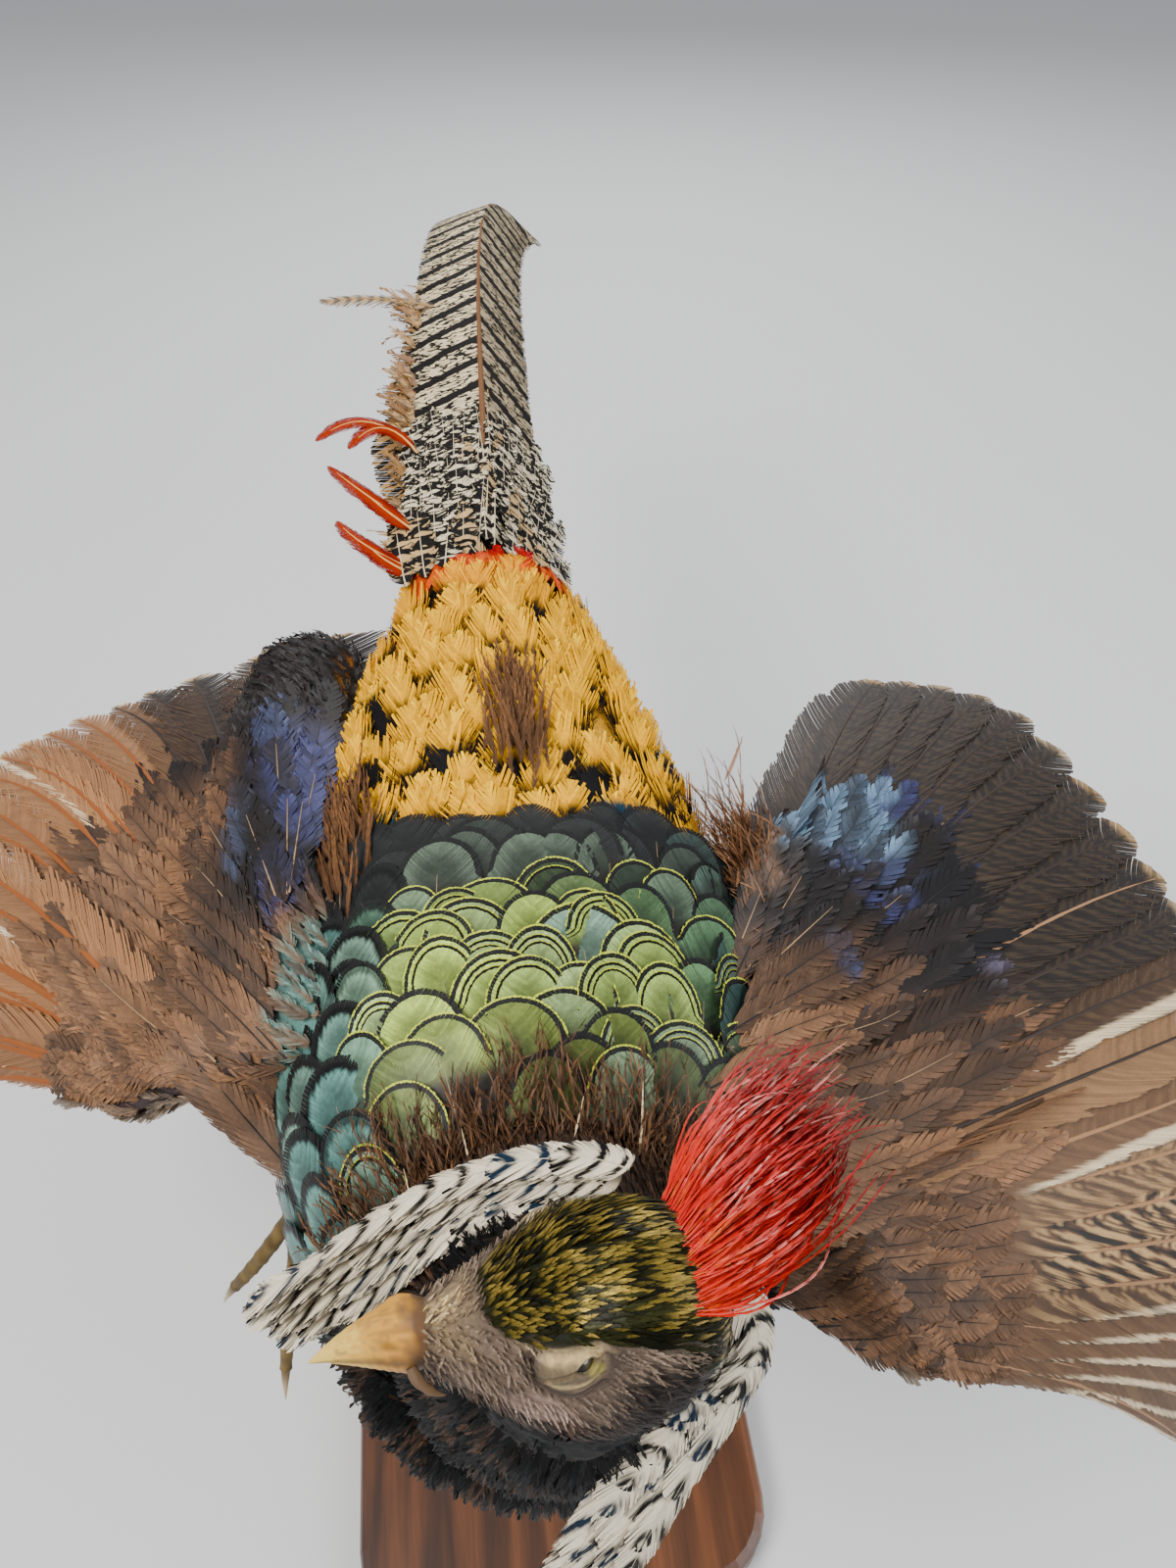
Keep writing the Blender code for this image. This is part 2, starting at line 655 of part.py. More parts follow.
# ---------------------------------------------------------------- legs
# places from the mantle; toes are (place of the tip, bow, radius at the root)
LEGS = {
    "right": {
        "hip": Vector((-0.034, 0.030, -0.082)),
        "hock": Vector((-0.067, 0.004, -0.086)),
        "foot": Vector((-0.082, 0.020, -0.152)),
        "toes": (
            Vector((-0.092, -0.024, -0.188)),
            Vector((-0.110, 0.004, -0.180)),
            Vector((-0.066, -0.004, -0.184)),
            Vector((-0.078, 0.038, -0.166)),
        ),
    },
    "left": {
        "hip": Vector((0.034, 0.030, -0.082)),
        "hock": Vector((0.062, 0.014, -0.104)),
        "foot": Vector((0.060, 0.048, -0.176)),
        "toes": (
            Vector((0.064, 0.012, -0.216)),
            Vector((0.082, 0.030, -0.208)),
            Vector((0.042, 0.024, -0.208)),
            Vector((0.058, 0.066, -0.190)),
        ),
    },
}
TARSUS_RADIUS, TOE_RADIUS = 0.0036, 0.0027
CLAW_LENGTH = 0.010


def joined_tubes(name, tubes, material):
    """Several tube bmeshes made into one closed body by Boolean unions."""
    whole = add(name, tubes[0], material)
    for number, bm in enumerate(tubes[1:], 1):
        extra = add(f"extra_{name}_{number}", bm, material, helper=True)
        join = whole.modifiers.new(f"join_{number}", "BOOLEAN")
        join.operation = "UNION"
        join.object = extra
    return whole


def leg(label, body):
    plan = LEGS[label]
    hip, hock, foot = (MANTLE + plan[part] for part in ("hip", "hock", "foot"))
    thigh_end = hock.lerp(foot, 0.10)
    bow = Vector((0, -0.006, 0))
    thigh = tube(arc(hip, thigh_end, bow, 7), [0.024, 0.023, 0.020, 0.016, 0.012, 0.009, 0.0055], sides=14)
    upper = add(f"leg_{label}", thigh, "leg_down")
    carve(upper, body)

    shank = tube(
        [hock.lerp(foot, share) for share in (0.0, 0.12, 0.5, 0.88, 1.03)],
        [0.0050, 0.0046, TARSUS_RADIUS, 0.0041, 0.0040],
        sides=8,
        up=Vector((0, 1, 0)),
    )
    tubes = [shank]
    claws = []
    for number, toe in enumerate(plan["toes"], 1):
        tip = MANTLE + toe
        hind = number == 4
        root = foot.lerp(hock, 0.10) if hind else foot
        bow = (tip - root).cross(Vector((1, 0, 0))).normalized() * (0.002 if hind else 0.004)
        base = TOE_RADIUS * (0.8 if hind else 1.15)
        radii = [base, base * 0.95, base * 0.98, base * 0.85, base * 0.88, base * 0.68]
        points = arc(root, tip, bow, 6)
        tubes.append(tube(points, radii, sides=6, up=Vector((1, 0, 0))))
        ahead = (points[-1] - points[-2]).normalized()
        start = tip + ahead * GAP
        end = start + ahead * CLAW_LENGTH * (0.8 if hind else 1.0) + Vector((0, 0, -0.0035))
        bend = Vector((0, 0, 0.0008))
        claws.append((number, arc(start, end, bend, 4), base * 0.60))
    carve(upper, joined_tubes(f"foot_{label}", tubes, "foot_scale"))
    for number, points, radius in claws:
        radii = [radius, radius * 0.8, radius * 0.5, radius * 0.12]
        add(f"claw_{label}_{number}", tube(points, radii, sides=6, up=Vector((1, 0, 0))), "claw_horn")


# ---------------------------------------------------------------- stand
def stand_base():
    bm = bmesh.new()
    bmesh.ops.create_cube(bm, size=1.0)
    shape = Matrix.Translation((0, 0, BASE_THICK / 2)) @ Matrix.Diagonal((*BASE_SIZE, BASE_THICK, 1))
    bmesh.ops.transform(bm, matrix=shape, verts=bm.verts)
    upright = [e for e in bm.edges if abs(e.verts[0].co.z - e.verts[1].co.z) > BASE_THICK / 2]
    bmesh.ops.bevel(bm, geom=upright, offset=BASE_CORNER, segments=6, profile=0.5, affect="EDGES")
    top = [
        e
        for e in bm.edges
        if all(v.co.z > BASE_THICK * 0.9 for v in e.verts)
        and len({f.normal.z > 0.5 for f in e.link_faces}) == 2
    ]
    bmesh.ops.bevel(bm, geom=top, offset=0.004, segments=2, profile=0.5, affect="EDGES")
    return add("stand_base", bm, "stand_wood")


def stand_rod():
    """The steel rod with its collar, from the base up into the belly."""
    belly = MANTLE.z + between(TRUNK, ROD_AT.y - MANTLE.y)[2]
    top = belly + ROD_DEEP
    foot = BASE_THICK + GAP
    profile = (
        (0.013, foot),
        (0.013, foot + 0.004),
        (0.0105, foot + 0.006),
        (ROD_RADIUS, foot + 0.0075),
        (ROD_RADIUS, top - 0.002),
        (ROD_RADIUS * 0.5, top),
    )
    sides = 16
    rings = []
    for radius, z in profile:
        ring = []
        for k in range(sides):
            angle = 2 * math.pi * k / sides
            ring.append(Vector((ROD_AT.x + radius * math.cos(angle), ROD_AT.y + radius * math.sin(angle), z)))
        rings.append(ring)
    bm = bmesh.new()
    bridge_rings(bm, rings)
    return add("stand_rod", bm, "stand_steel")


# ---------------------------------------------------------------- the whole bird
def main():
    clear_scene()
    stand_base()
    rod = stand_rod()
    body = trunk()
    frame = head_frame()
    eyes = [eye("eye_left", frame, 1), eye("eye_right", frame, -1)]
    skull = head(frame, eyes)
    throat = neck(body)
    carve(throat, skull)
    carve(body, rod)
    bill_half("bill_upper", frame, upper=True)
    bill_half("bill_lower", frame, upper=False)
    crest(frame, skull)
    cape("cape_left", CAPE_LEFT, skull, throat)
    cape("cape_right", CAPE_RIGHT, skull, throat)
    for label in WINGS:
        wing_pieces(label, body)
    tail(body)
    loose_feathers()
    for label in LEGS:
        leg(label, body)


main()
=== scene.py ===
import math

import bmesh
import bpy
import numpy as np
from mathutils import Matrix, Vector
from mathutils.bvhtree import BVHTree
from mathutils.geometry import interpolate_bezier


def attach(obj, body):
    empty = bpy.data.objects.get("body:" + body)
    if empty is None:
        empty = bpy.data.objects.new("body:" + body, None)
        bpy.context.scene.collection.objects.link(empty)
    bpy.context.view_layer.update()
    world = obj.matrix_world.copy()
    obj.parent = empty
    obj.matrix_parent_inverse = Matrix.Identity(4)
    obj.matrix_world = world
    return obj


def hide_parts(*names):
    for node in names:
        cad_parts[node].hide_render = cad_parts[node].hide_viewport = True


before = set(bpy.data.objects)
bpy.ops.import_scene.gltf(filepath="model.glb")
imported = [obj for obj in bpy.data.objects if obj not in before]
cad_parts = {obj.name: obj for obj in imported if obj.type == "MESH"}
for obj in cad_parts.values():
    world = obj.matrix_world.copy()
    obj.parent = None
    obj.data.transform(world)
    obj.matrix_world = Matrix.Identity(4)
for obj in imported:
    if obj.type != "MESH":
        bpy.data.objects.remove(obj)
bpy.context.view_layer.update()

# ---------------------------------------------------------------- the solids' own measures, in metres
MANTLE = Vector((0.0, -0.045, 0.34))  # the highest point of the back; the bird is laid out from it
HEAD_CENTRE = Vector((0.002, -0.1045, 0.041))
HEAD_YAW, HEAD_PITCH, HEAD_ROLL = 182.0, 6.0, -20.0
HEAD_FRONT = 0.0280
EYE_AT, EYE_RADIUS = Vector((0.0042, 0.0115, 0.0050)), 0.0052
BILL_LENGTH, BILL_WIDTH = 0.0167, 0.0116
TAIL_START, TAIL_THICK = 0.1725, 0.0016
LEFT_SLOPE, RIGHT_SLOPE = 48.0, 14.0
TAIL_LINE = (
    (0.1725, 0.000, -0.004),
    (0.260, 0.006, 0.000),
    (0.350, 0.010, 0.002),
    (0.430, 0.014, 0.001),
    (0.500, 0.019, -0.003),
    (0.560, 0.026, -0.011),
    (0.600, 0.034, -0.023),
    (0.626, 0.047, -0.041),
    (0.640, 0.061, -0.064),
)
COAT_DEPTH = 0.0026  # how far the skin lies inside the body's solids
WING_DEPTH, HEAD_DEPTH, LEG_DEPTH = 0.0014, 0.0005, 0.0016
AXIS_DROP = 0.055  # the body's middle, below the mantle
SKIN_VOXEL = 0.0015
FACE_REACH = (0.026, 0.022, 0.022)  # half sizes of the block in which the head's surface is refined

PRIMARIES, SECONDARIES = 10, 12
FEATHERS = PRIMARIES + SECONDARIES
INNERMOST = FEATHERS - 0.5  # feather numbers end half a feather past the last one's middle
FAN_CURVE = 0.07
WINGS = {
    "left": {
        "elbow": Vector((0.098, 0.041, -0.042)),
        "wrist": Vector((0.071, -0.051, -0.050)),
        "finger": Vector((0.090, -0.083, -0.072)),
        "inner": Vector((0.070, 0.034, -0.034)),
        "tips": (
            (0, 0.202, -0.086, -0.180),
            (3, 0.238, -0.068, -0.160),
            (6, 0.256, -0.036, -0.128),
            (9, 0.250, 0.004, -0.100),
            (11, 0.238, 0.034, -0.086),
            (13, 0.229, 0.064, -0.077),
            (15, 0.221, 0.102, -0.072),
            (17, 0.209, 0.144, -0.070),
            (19, 0.182, 0.160, -0.066),
            (21.5, 0.145, 0.162, -0.060),
        ),
    },
    "right": {
        "elbow": Vector((-0.089, 0.074, -0.040)),
        "wrist": Vector((-0.096, 0.010, -0.046)),
        "finger": Vector((-0.118, 0.013, -0.066)),
        "inner": Vector((-0.056, 0.078, -0.032)),
        "tips": (
            (0, -0.224, 0.066, -0.138),
            (3, -0.238, 0.090, -0.122),
            (6, -0.234, 0.118, -0.104),
            (9, -0.222, 0.143, -0.088),
            (11, -0.206, 0.160, -0.078),
            (13, -0.190, 0.172, -0.070),
            (15, -0.172, 0.178, -0.066),
            (17, -0.150, 0.192, -0.067),
            (19, -0.118, 0.202, -0.064),
            (21.5, -0.046, 0.204, -0.046),
        ),
    },
}
CAPES = {
    "left": (
        ((0.0290, -0.1000, 0.0400), (0.0330, -0.1090, 0.0310), (0.0265, -0.1150, 0.0200),
         (0.0110, -0.1270, -0.0080), (0.0020, -0.1340, -0.0260)),
        ((0.0240, -0.1030, 0.0270), (0.0190, -0.1130, 0.0240), (0.0090, -0.1180, 0.0150),
         (-0.0010, -0.1265, -0.0080), (-0.0080, -0.1310, -0.0230)),
    ),
    "right": (
        ((0.0140, -0.0800, 0.0420), (0.0040, -0.0720, 0.0340), (-0.0180, -0.0650, 0.0170),
         (-0.0400, -0.0640, -0.0030), (-0.0600, -0.0690, -0.0150)),
        ((0.0040, -0.0870, 0.0300), (-0.0010, -0.0830, 0.0240), (-0.0180, -0.0760, 0.0080),
         (-0.0360, -0.0740, -0.0110), (-0.0520, -0.0740, -0.0230)),
    ),
}
LEGS = {
    "right": {
        "hock": Vector((-0.067, 0.004, -0.086)),
        "foot": Vector((-0.082, 0.020, -0.152)),
        "toes": (
            Vector((-0.092, -0.024, -0.188)),
            Vector((-0.110, 0.004, -0.180)),
            Vector((-0.066, -0.004, -0.184)),
            Vector((-0.078, 0.038, -0.166)),
        ),
    },
    "left": {
        "hock": Vector((0.062, 0.014, -0.104)),
        "foot": Vector((0.060, 0.048, -0.176)),
        "toes": (
            Vector((0.064, 0.012, -0.216)),
            Vector((0.082, 0.030, -0.208)),
            Vector((0.042, 0.024, -0.208)),
            Vector((0.058, 0.066, -0.190)),
        ),
    },
}
TARSUS_RADIUS, TOE_RADIUS, CLAW_LENGTH = 0.0036, 0.0027, 0.010
ORANGE_COVERTS = (
    (Vector((-0.0220, 0.262, 0.000)), Vector((-0.0600, 0.254, 0.010)), Vector((0.000, 0.012, 0.004))),
    (Vector((-0.0240, 0.204, 0.000)), Vector((-0.0550, 0.240, 0.007)), Vector((-0.002, -0.004, 0.004))),
    (Vector((-0.0240, 0.178, -0.002)), Vector((-0.0510, 0.202, 0.006)), Vector((-0.003, -0.004, 0.003))),
)
STRAY_FEATHER = (Vector((-0.0100, 0.408, -0.004)), Vector((-0.0660, 0.416, -0.002)),
                 Vector((0.0, 0.007, 0.0)))

HEAD = (
    Matrix.Translation(MANTLE + HEAD_CENTRE)
    @ Matrix.Rotation(math.radians(HEAD_YAW), 4, "Z")
    @ Matrix.Rotation(math.radians(-HEAD_PITCH), 4, "Y")
    @ Matrix.Rotation(math.radians(-HEAD_ROLL), 4, "X")
)
HEAD_TURN = np.array(HEAD.to_3x3())
HEAD_SPOT = np.array(HEAD.translation)
BACK = np.array(MANTLE)

TRIANGLE_LIMIT = 199000  # for one piece of the coat


# ---------------------------------------------------------------- colour
def hue(red, green, blue):
    """A colour named in 0 to 255 screen values, as linear light, deepened for soft studio light."""
    value = np.array((red, green, blue)) / 255
    return np.where(value <= 0.04045, value / 12.92, ((value + 0.055) / 1.055) ** 2.4) ** 1.22


BLACK = hue(20, 20, 20)
CHARCOAL = hue(46, 48, 44)
LIME = hue(176, 196, 104)
OLIVE = hue(64, 68, 38)
TEAL = hue(116, 160, 152)
SEA = hue(104, 134, 98)
GREY_GREEN = hue(150, 172, 146)
YELLOW_LIME = hue(200, 208, 72)
GOLD = hue(230, 174, 0)
ORANGE = hue(216, 98, 8)
WHITE = hue(226, 216, 194)
CREAM = hue(222, 200, 164)
BUFF = hue(196, 160, 104)
TAN = hue(158, 116, 78)
BROWN = hue(96, 72, 54)
UMBER = hue(58, 46, 38)
SKY = hue(128, 154, 178)
VIOLET = hue(78, 80, 120)
SLATE = hue(82, 88, 116)
GLOSS_BLACK = hue(16, 22, 26)
DUST = hue(140, 122, 106)
ROSE_GREY = hue(168, 146, 134)


def mix(a, b, share):
    """Between colour a and colour b, the share an array without the colour axis."""
    share = np.clip(np.asarray(share), 0, 1)[..., None]
    return a * (1 - share) + b * share


def step(x, low, high):
    """0 below low, 1 above high, smooth between."""
    t = np.clip((np.asarray(x) - low) / (high - low), 0, 1)
    return t * t * (3 - 2 * t)


def band(x, low, high, soft=0.02):
    """1 between low and high, 0 outside them, smooth over soft within each end."""
    return step(x, low, low + soft) * step(x, high, high - soft)


def blotch(places, size, seed):
    """Soft patches from 0 to 1 over places in space, of about that size in metres."""
    draw = np.random.default_rng(seed)
    total = 0
    for _ in range(6):
        wave = draw.normal(size=3)
        wave *= draw.uniform(0.6, 1.5) / np.linalg.norm(wave)
        total = total + np.sin(places @ (wave * (2 * math.pi / size)) + draw.uniform(0, 6.28))
    return np.clip(0.5 + total / 5, 0, 1)


# ---------------------------------------------------------------- small geometry
def unit(vectors):
    """Vectors brought to length 1."""
    return vectors / np.maximum(np.linalg.norm(vectors, axis=-1, keepdims=True), 1e-12)


def between(table, x):
    """A smooth value at x from a table of (x, value, ...) rows; each column is interpolated."""
    rows = list(table)
    if x <= rows[0][0]:
        return rows[0][1:]
    if x >= rows[-1][0]:
        return rows[-1][1:]
    i = max(k for k in range(len(rows) - 1) if rows[k][0] <= x)
    a, b = rows[i], rows[i + 1]
    before, after = rows[max(i - 1, 0)], rows[min(i + 2, len(rows) - 1)]
    t = (x - a[0]) / (b[0] - a[0])
    out = []
    for k in range(1, len(a)):
        span = b[0] - a[0]
        slope_a = (b[k] - before[k]) / (b[0] - before[0])
        slope_b = (after[k] - a[k]) / (after[0] - a[0])
        out.append(
            (2 * t**3 - 3 * t**2 + 1) * a[k]
            + (t**3 - 2 * t**2 + t) * span * slope_a
            + (3 * t**2 - 2 * t**3) * b[k]
            + (t**3 - t**2) * span * slope_b
        )
    return out


def arc(a, b, bow, count):
    """Points from a to b on a curve that bows by the vector bow at its middle."""
    return interpolate_bezier(a, a.lerp(b, 0.33) + bow * 1.33, a.lerp(b, 0.67) + bow * 1.33, b, count)


def solid(*names):
    """Vertices and triangles of CAD nodes, together."""
    verts, tris, count = [], [], 0
    for name in names:
        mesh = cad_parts[name].data
        places = np.empty(len(mesh.vertices) * 3)
        mesh.vertices.foreach_get("co", places)
        mesh.calc_loop_triangles()
        corners = np.empty(len(mesh.loop_triangles) * 3, dtype=np.int32)
        mesh.loop_triangles.foreach_get("vertices", corners)
        verts.append(places.reshape(-1, 3))
        tris.append(corners.reshape(-1, 3) + count)
        count += len(mesh.vertices)
    return np.concatenate(verts), np.concatenate(tris)


def tree_of(*names):
    """CAD nodes together, as a tree to find nearest places and hits in."""
    verts, tris = solid(*names)
    return BVHTree.FromPolygons(verts.tolist(), tris.tolist())


def nearest(tree, places):
    """The nearest places on a surface, with their normals."""
    spots, normals = np.empty_like(places), np.empty_like(places)
    for i, place in enumerate(places):
        spot, normal, _, _ = tree.find_nearest(place)
        spots[i], normals[i] = spot, normal
    return spots, normals


def in_head(places):
    """Places in the head's own axes: forward, left, up."""
    return (places - HEAD_SPOT) @ HEAD_TURN


def from_head(local):
    """Places given in the head's own axes, in the shared frame."""
    return local @ HEAD_TURN.T + HEAD_SPOT


def laid_out(places):
    """How far places are to the left of, behind and above the mantle's highest point."""
    return np.moveaxis(places - BACK, -1, 0)


def roll_at(x, z):
    """The angle round the body from its top, in degrees, + to the left."""
    return np.degrees(np.arctan2(x, z + AXIS_DROP))


def strewn(draw, aim, shape, amount):
    """Directions round aim, each turned off it at random by about amount."""
    return unit(aim + draw.normal(size=shape) * amount)


def scatter(names, spacing, keep, seed):
    """Places and normals about spacing apart over CAD nodes, where keep(places) is true or keep is None."""
    draw = np.random.default_rng(seed)
    verts, tris = solid(*names)
    a, b, c = (verts[tris[:, k]] for k in range(3))
    faces = np.cross(b - a, c - a)
    area = np.linalg.norm(faces, axis=1) / 2
    count = int(area.sum() / spacing**2 * 6)
    pick = draw.choice(len(area), count, p=area / area.sum())
    u, v = draw.random((2, count, 1))
    flip = u + v > 1
    u, v = np.where(flip, 1 - u, u), np.where(flip, 1 - v, v)
    places = a[pick] + (b - a)[pick] * u + (c - a)[pick] * v
    normals = unit(faces)[pick]
    if keep:
        good = keep(places)
        places, normals = places[good], normals[good]
    taken, chosen = {}, []
    for i, place in enumerate(places):
        cell = tuple(int(x // spacing) for x in place)
        near = (
            taken.get((cell[0] + dx, cell[1] + dy, cell[2] + dz))
            for dx in (-1, 0, 1)
            for dy in (-1, 0, 1)
            for dz in (-1, 0, 1)
        )
        if all(other is None or np.sum((place - places[other]) ** 2) > spacing**2 * 0.7 for other in near):
            taken[cell] = i
            chosen.append(i)
    return places[chosen], normals[chosen]


# ---------------------------------------------------------------- feathers
# A feather is a shaft on rails and barbs gathered in bands, which run from the shaft to the outline.
OUTLINES = {  # share where the full width is reached, power, share where the tip's rounding starts, power
    "disc": (0.50, 0.75, 0.50, 2.4),
    "blunt": (0.45, 0.80, 0.70, 3.2),
    "leaf": (0.40, 0.80, 0.30, 1.6),
    "lance": (0.25, 0.70, 0.15, 1.2),
    "vane": (0.12, 0.60, 0.74, 2.4),
    "strap": (0.10, 0.50, 0.88, 2.2),
}


def outline(kind, slim, bands):
    """Even steps along a feather's edge from its base to its tip: shares along and across."""
    rise, rise_power, tip, tip_power = OUTLINES[kind]
    along = (1 - np.cos(np.linspace(0, math.pi, 500))) / 2
    wide = np.sin(np.clip(along / rise, 0, 1) * math.pi / 2) ** rise_power
    wide = wide * np.sqrt(1 - np.clip((along - tip) / (1 - tip), 0, 1) ** tip_power)
    reach = np.concatenate([[0], np.cumsum(np.hypot(np.diff(along), np.diff(wide * slim)))])
    even = np.linspace(0, reach[-1], bands + 1)
    return np.interp(even, reach, along), np.interp(even, reach, wide)


def rails(spots, ups):
    """Shaft points (feather, point, xyz) with the sideways and upward directions at each."""
    ahead = unit(np.gradient(spots, axis=1))
    sides = unit(np.cross(ahead, np.broadcast_to(ups, spots.shape)))
    return spots, sides, np.cross(sides, ahead)


def straight_rails(roots, aims, ups, lengths, bow=0.0, points=5):
    """Rails from roots along aims; bow lifts the middle, as a share of the length."""
    share = np.linspace(0, 1, points)[None, :, None]
    lengths = np.broadcast_to(lengths, (len(roots),))[:, None, None]
    ups = ups[:, None, :]
    spots = (roots[:, None, :] + aims[:, None, :] * lengths * share
             + ups * lengths * bow * 4 * share * (1 - share))
    return rails(spots, ups)


def draped_rails(tree, roots, aims, lengths, lift, points=5):
    """Rails from roots that creep over a surface along aims, lift = (at the root, at the tip) over it."""
    spots, normals = nearest(tree, roots)
    lengths = np.broadcast_to(lengths, (len(roots),))[:, None]
    path, ups = [], []
    for j in range(points):
        share = j / (points - 1)
        rise = lift[0] + (lift[1] - lift[0]) * share
        path.append(spots + normals * rise)
        ups.append(normals)
        aims = unit(aims - normals * np.sum(aims * normals, axis=1, keepdims=True))
        ahead, fresh = nearest(tree, spots + aims * lengths / (points - 1))
        spots = spots + aims * lengths / (points - 1)
        spots = spots * 0.25 + ahead * 0.75
        normals = unit(normals * 0.5 + fresh * 0.5)
    return rails(np.stack(path, axis=1), np.stack(ups, axis=1))


def each(values):
    """Numbers or colours, one for each feather, shaped to meet the vertices of a batch."""
    return values.reshape((-1, 1, 1, 1, 1) + values.shape[1:])


def on_rails(track, share, side, across, rise):
    """Places share of the way along the shafts, across and rise metres off them."""
    spots = track[0]
    count, points = spots.shape[:2]
    spot = np.clip(share, 0, 1.05) * (points - 1)
    low = np.clip(spot.astype(int), 0, points - 2)
    part = (spot - low)[..., None]
    who = np.arange(count).reshape((count,) + (1,) * (share.ndim - 1))

    def pick(table):
        if table.ndim == 4:
            first, last = table[who, side, low], table[who, side, low + 1]
        else:
            first, last = table[who, low], table[who, low + 1]
        return first + (last - first) * part

    return pick(spots) + pick(track[1]) * across[..., None] + pick(track[2]) * rise[..., None]


class Coat:
    """One piece of the coat, gathered from batches of feathers."""

    def __init__(self, name):
        self.name, self.count = name, 0
        self.verts, self.faces, self.places, self.uvs = [], [], [], []
        self.tones, self.gloss, self.rims = [], [], []

    def take(self, verts, faces, tones, gloss, places, uvs, rims=0.0):
        """Adds a batch: its vertices and faces, and what each vertex carries for the materials."""
        self.verts.append(verts.reshape(-1, 3))
        self.faces.append(faces.reshape(-1, 4) + self.count)
        self.tones.append(np.broadcast_to(tones, verts.shape).reshape(-1, 3))
        self.gloss.append(np.broadcast_to(gloss, verts.shape[:-1]).reshape(-1))
        self.rims.append(np.broadcast_to(rims, verts.shape[:-1]).reshape(-1))
        self.places.append(places.reshape(-1, 3))
        self.uvs.append(uvs.reshape(-1, 2))
        self.count += verts.size // 3

    def plumes(self, track, width, kind, tone, uv, *, bands=10, steps=3, crowd=1.0, sweep=0.8, curve=0.5,
               gap=0.3, fray=0.1, torn=0.0, cup=0.0, sag=0.0, tilt=0.0, puff=0.0, cell=0.003, shaft=0.0004,
               shaft_tone=None, shaft_end=0.95, base=0.02, varied=0.25, seed=1):
        """Feathers on rails.

        width is the half width in metres, one number, one for each feather or one for each side of each.
        gap is how far bands part at the edge, fray how short some break off, torn how deep the notches
        in the vane are, crowd how much finer the steps get towards the edge, cup the vane's curvature,
        sag how far its edges droop as a share of the width, tilt how far side 1 rises and the other sinks,
        and puff how far barb ends stand up. tone(at) gives (colour, gloss) or (colour, gloss, rim).
        """
        draw = np.random.default_rng(seed)
        count = len(track[0])
        width = np.asarray(width, dtype=float)
        width = width.reshape(-1, 1) if width.ndim == 1 else width
        width = np.broadcast_to(width, (count, 2))
        length = np.linalg.norm(np.diff(track[0], axis=1), axis=2).sum(axis=1)
        slim = float(np.mean(width) / np.mean(length))
        along, wide = outline(kind, slim, bands)
        rooted = np.clip(along - sweep * slim * wide, base, 0.985)

        k = 1 - (1 - np.linspace(0, 1, steps + 1)[:, None]) ** crowd

        def edges(values):
            return np.stack([values[:-1], values[1:]], axis=-1)[:, None, :]

        out_x, out_y, in_x = edges(along), edges(wide), edges(rooted)
        part = draw.random((count, 2, bands, 1, 1)) * gap * k**1.5
        out_x = out_x + (out_x.mean(axis=-1, keepdims=True) - out_x) * part
        out_y = out_y + (out_y.mean(axis=-1, keepdims=True) - out_y) * part
        end = 1 - fray * draw.random((count, 2, bands, 1, 1)) ** 2
        if torn:
            place = draw.random((count, 2, 1, 4))
            notch = draw.uniform(0, torn, place.shape) * np.exp(-(((along[1:, None] - place) / 0.025) ** 2))
            end = end * (1 - notch.max(axis=-1)[..., None, None])
        reach = k * end
        share = in_x + (out_x - in_x) * reach ** (1 + curve)
        side = np.array([1, 0]).reshape(1, 2, 1, 1, 1)
        sign = side * 2 - 1
        full = width[:, ::-1].reshape(count, 2, 1, 1, 1)
        off = full * out_y * reach
        rise = (-cup * off**2 / 2 + (tilt * sign - sag) * off
                + puff * draw.normal(size=(count, 2, bands, 1, 1)) * reach**2)
        share, off, rise = np.broadcast_arrays(share, off, rise)
        verts = on_rails(track, share, np.broadcast_to(side, share.shape), off * sign, rise)
        barb = draw.random((count, 2, bands, 1, 1))
        seeds = draw.random((count, 1, 1, 1, 1))
        at = {
            "along": share,
            "reach": np.broadcast_to(reach, share.shape),
            "side": np.broadcast_to(sign, share.shape),
            "across": off,
            "spot": verts,
            "length": each(length),
            "seed": np.broadcast_to(seeds, share.shape),
            "barb": np.broadcast_to(barb, share.shape),
            "root": each(track[0][:, 0]),
            "number": each(np.arange(count)),
        }
        colour, gloss, *rims = tone(at)
        colour = colour * (1 + varied * (at["barb"] - 0.5))[..., None]
        local = np.stack(
            [share * at["length"], off * sign, np.broadcast_to(seeds * 7, share.shape)], axis=-1
        )
        cell = np.broadcast_to(cell, (2,))
        uv = each(np.broadcast_to(uv, (count, 2)))
        patch = np.stack([0.5 + 0.48 * sign * out_y * reach, 0.02 + 0.96 * np.clip(share, 0, 1)], axis=-1)
        ids = np.arange(2 * bands * (steps + 1) * 2).reshape(2, bands, steps + 1, 2)
        quads = np.stack([ids[:, :, :-1, 0], ids[:, :, 1:, 0], ids[:, :, 1:, 1], ids[:, :, :-1, 1]], axis=-1)
        quads[0] = quads[0][..., ::-1]
        quads = quads[None] + (np.arange(count) * ids.size).reshape(-1, 1, 1, 1, 1)
        self.take(verts, quads, colour, gloss, local, uv + cell * patch, *rims)
        if shaft_tone is not None:
            self.shafts(track, length, shaft, shaft_tone, shaft_end, uv, cell, seeds)

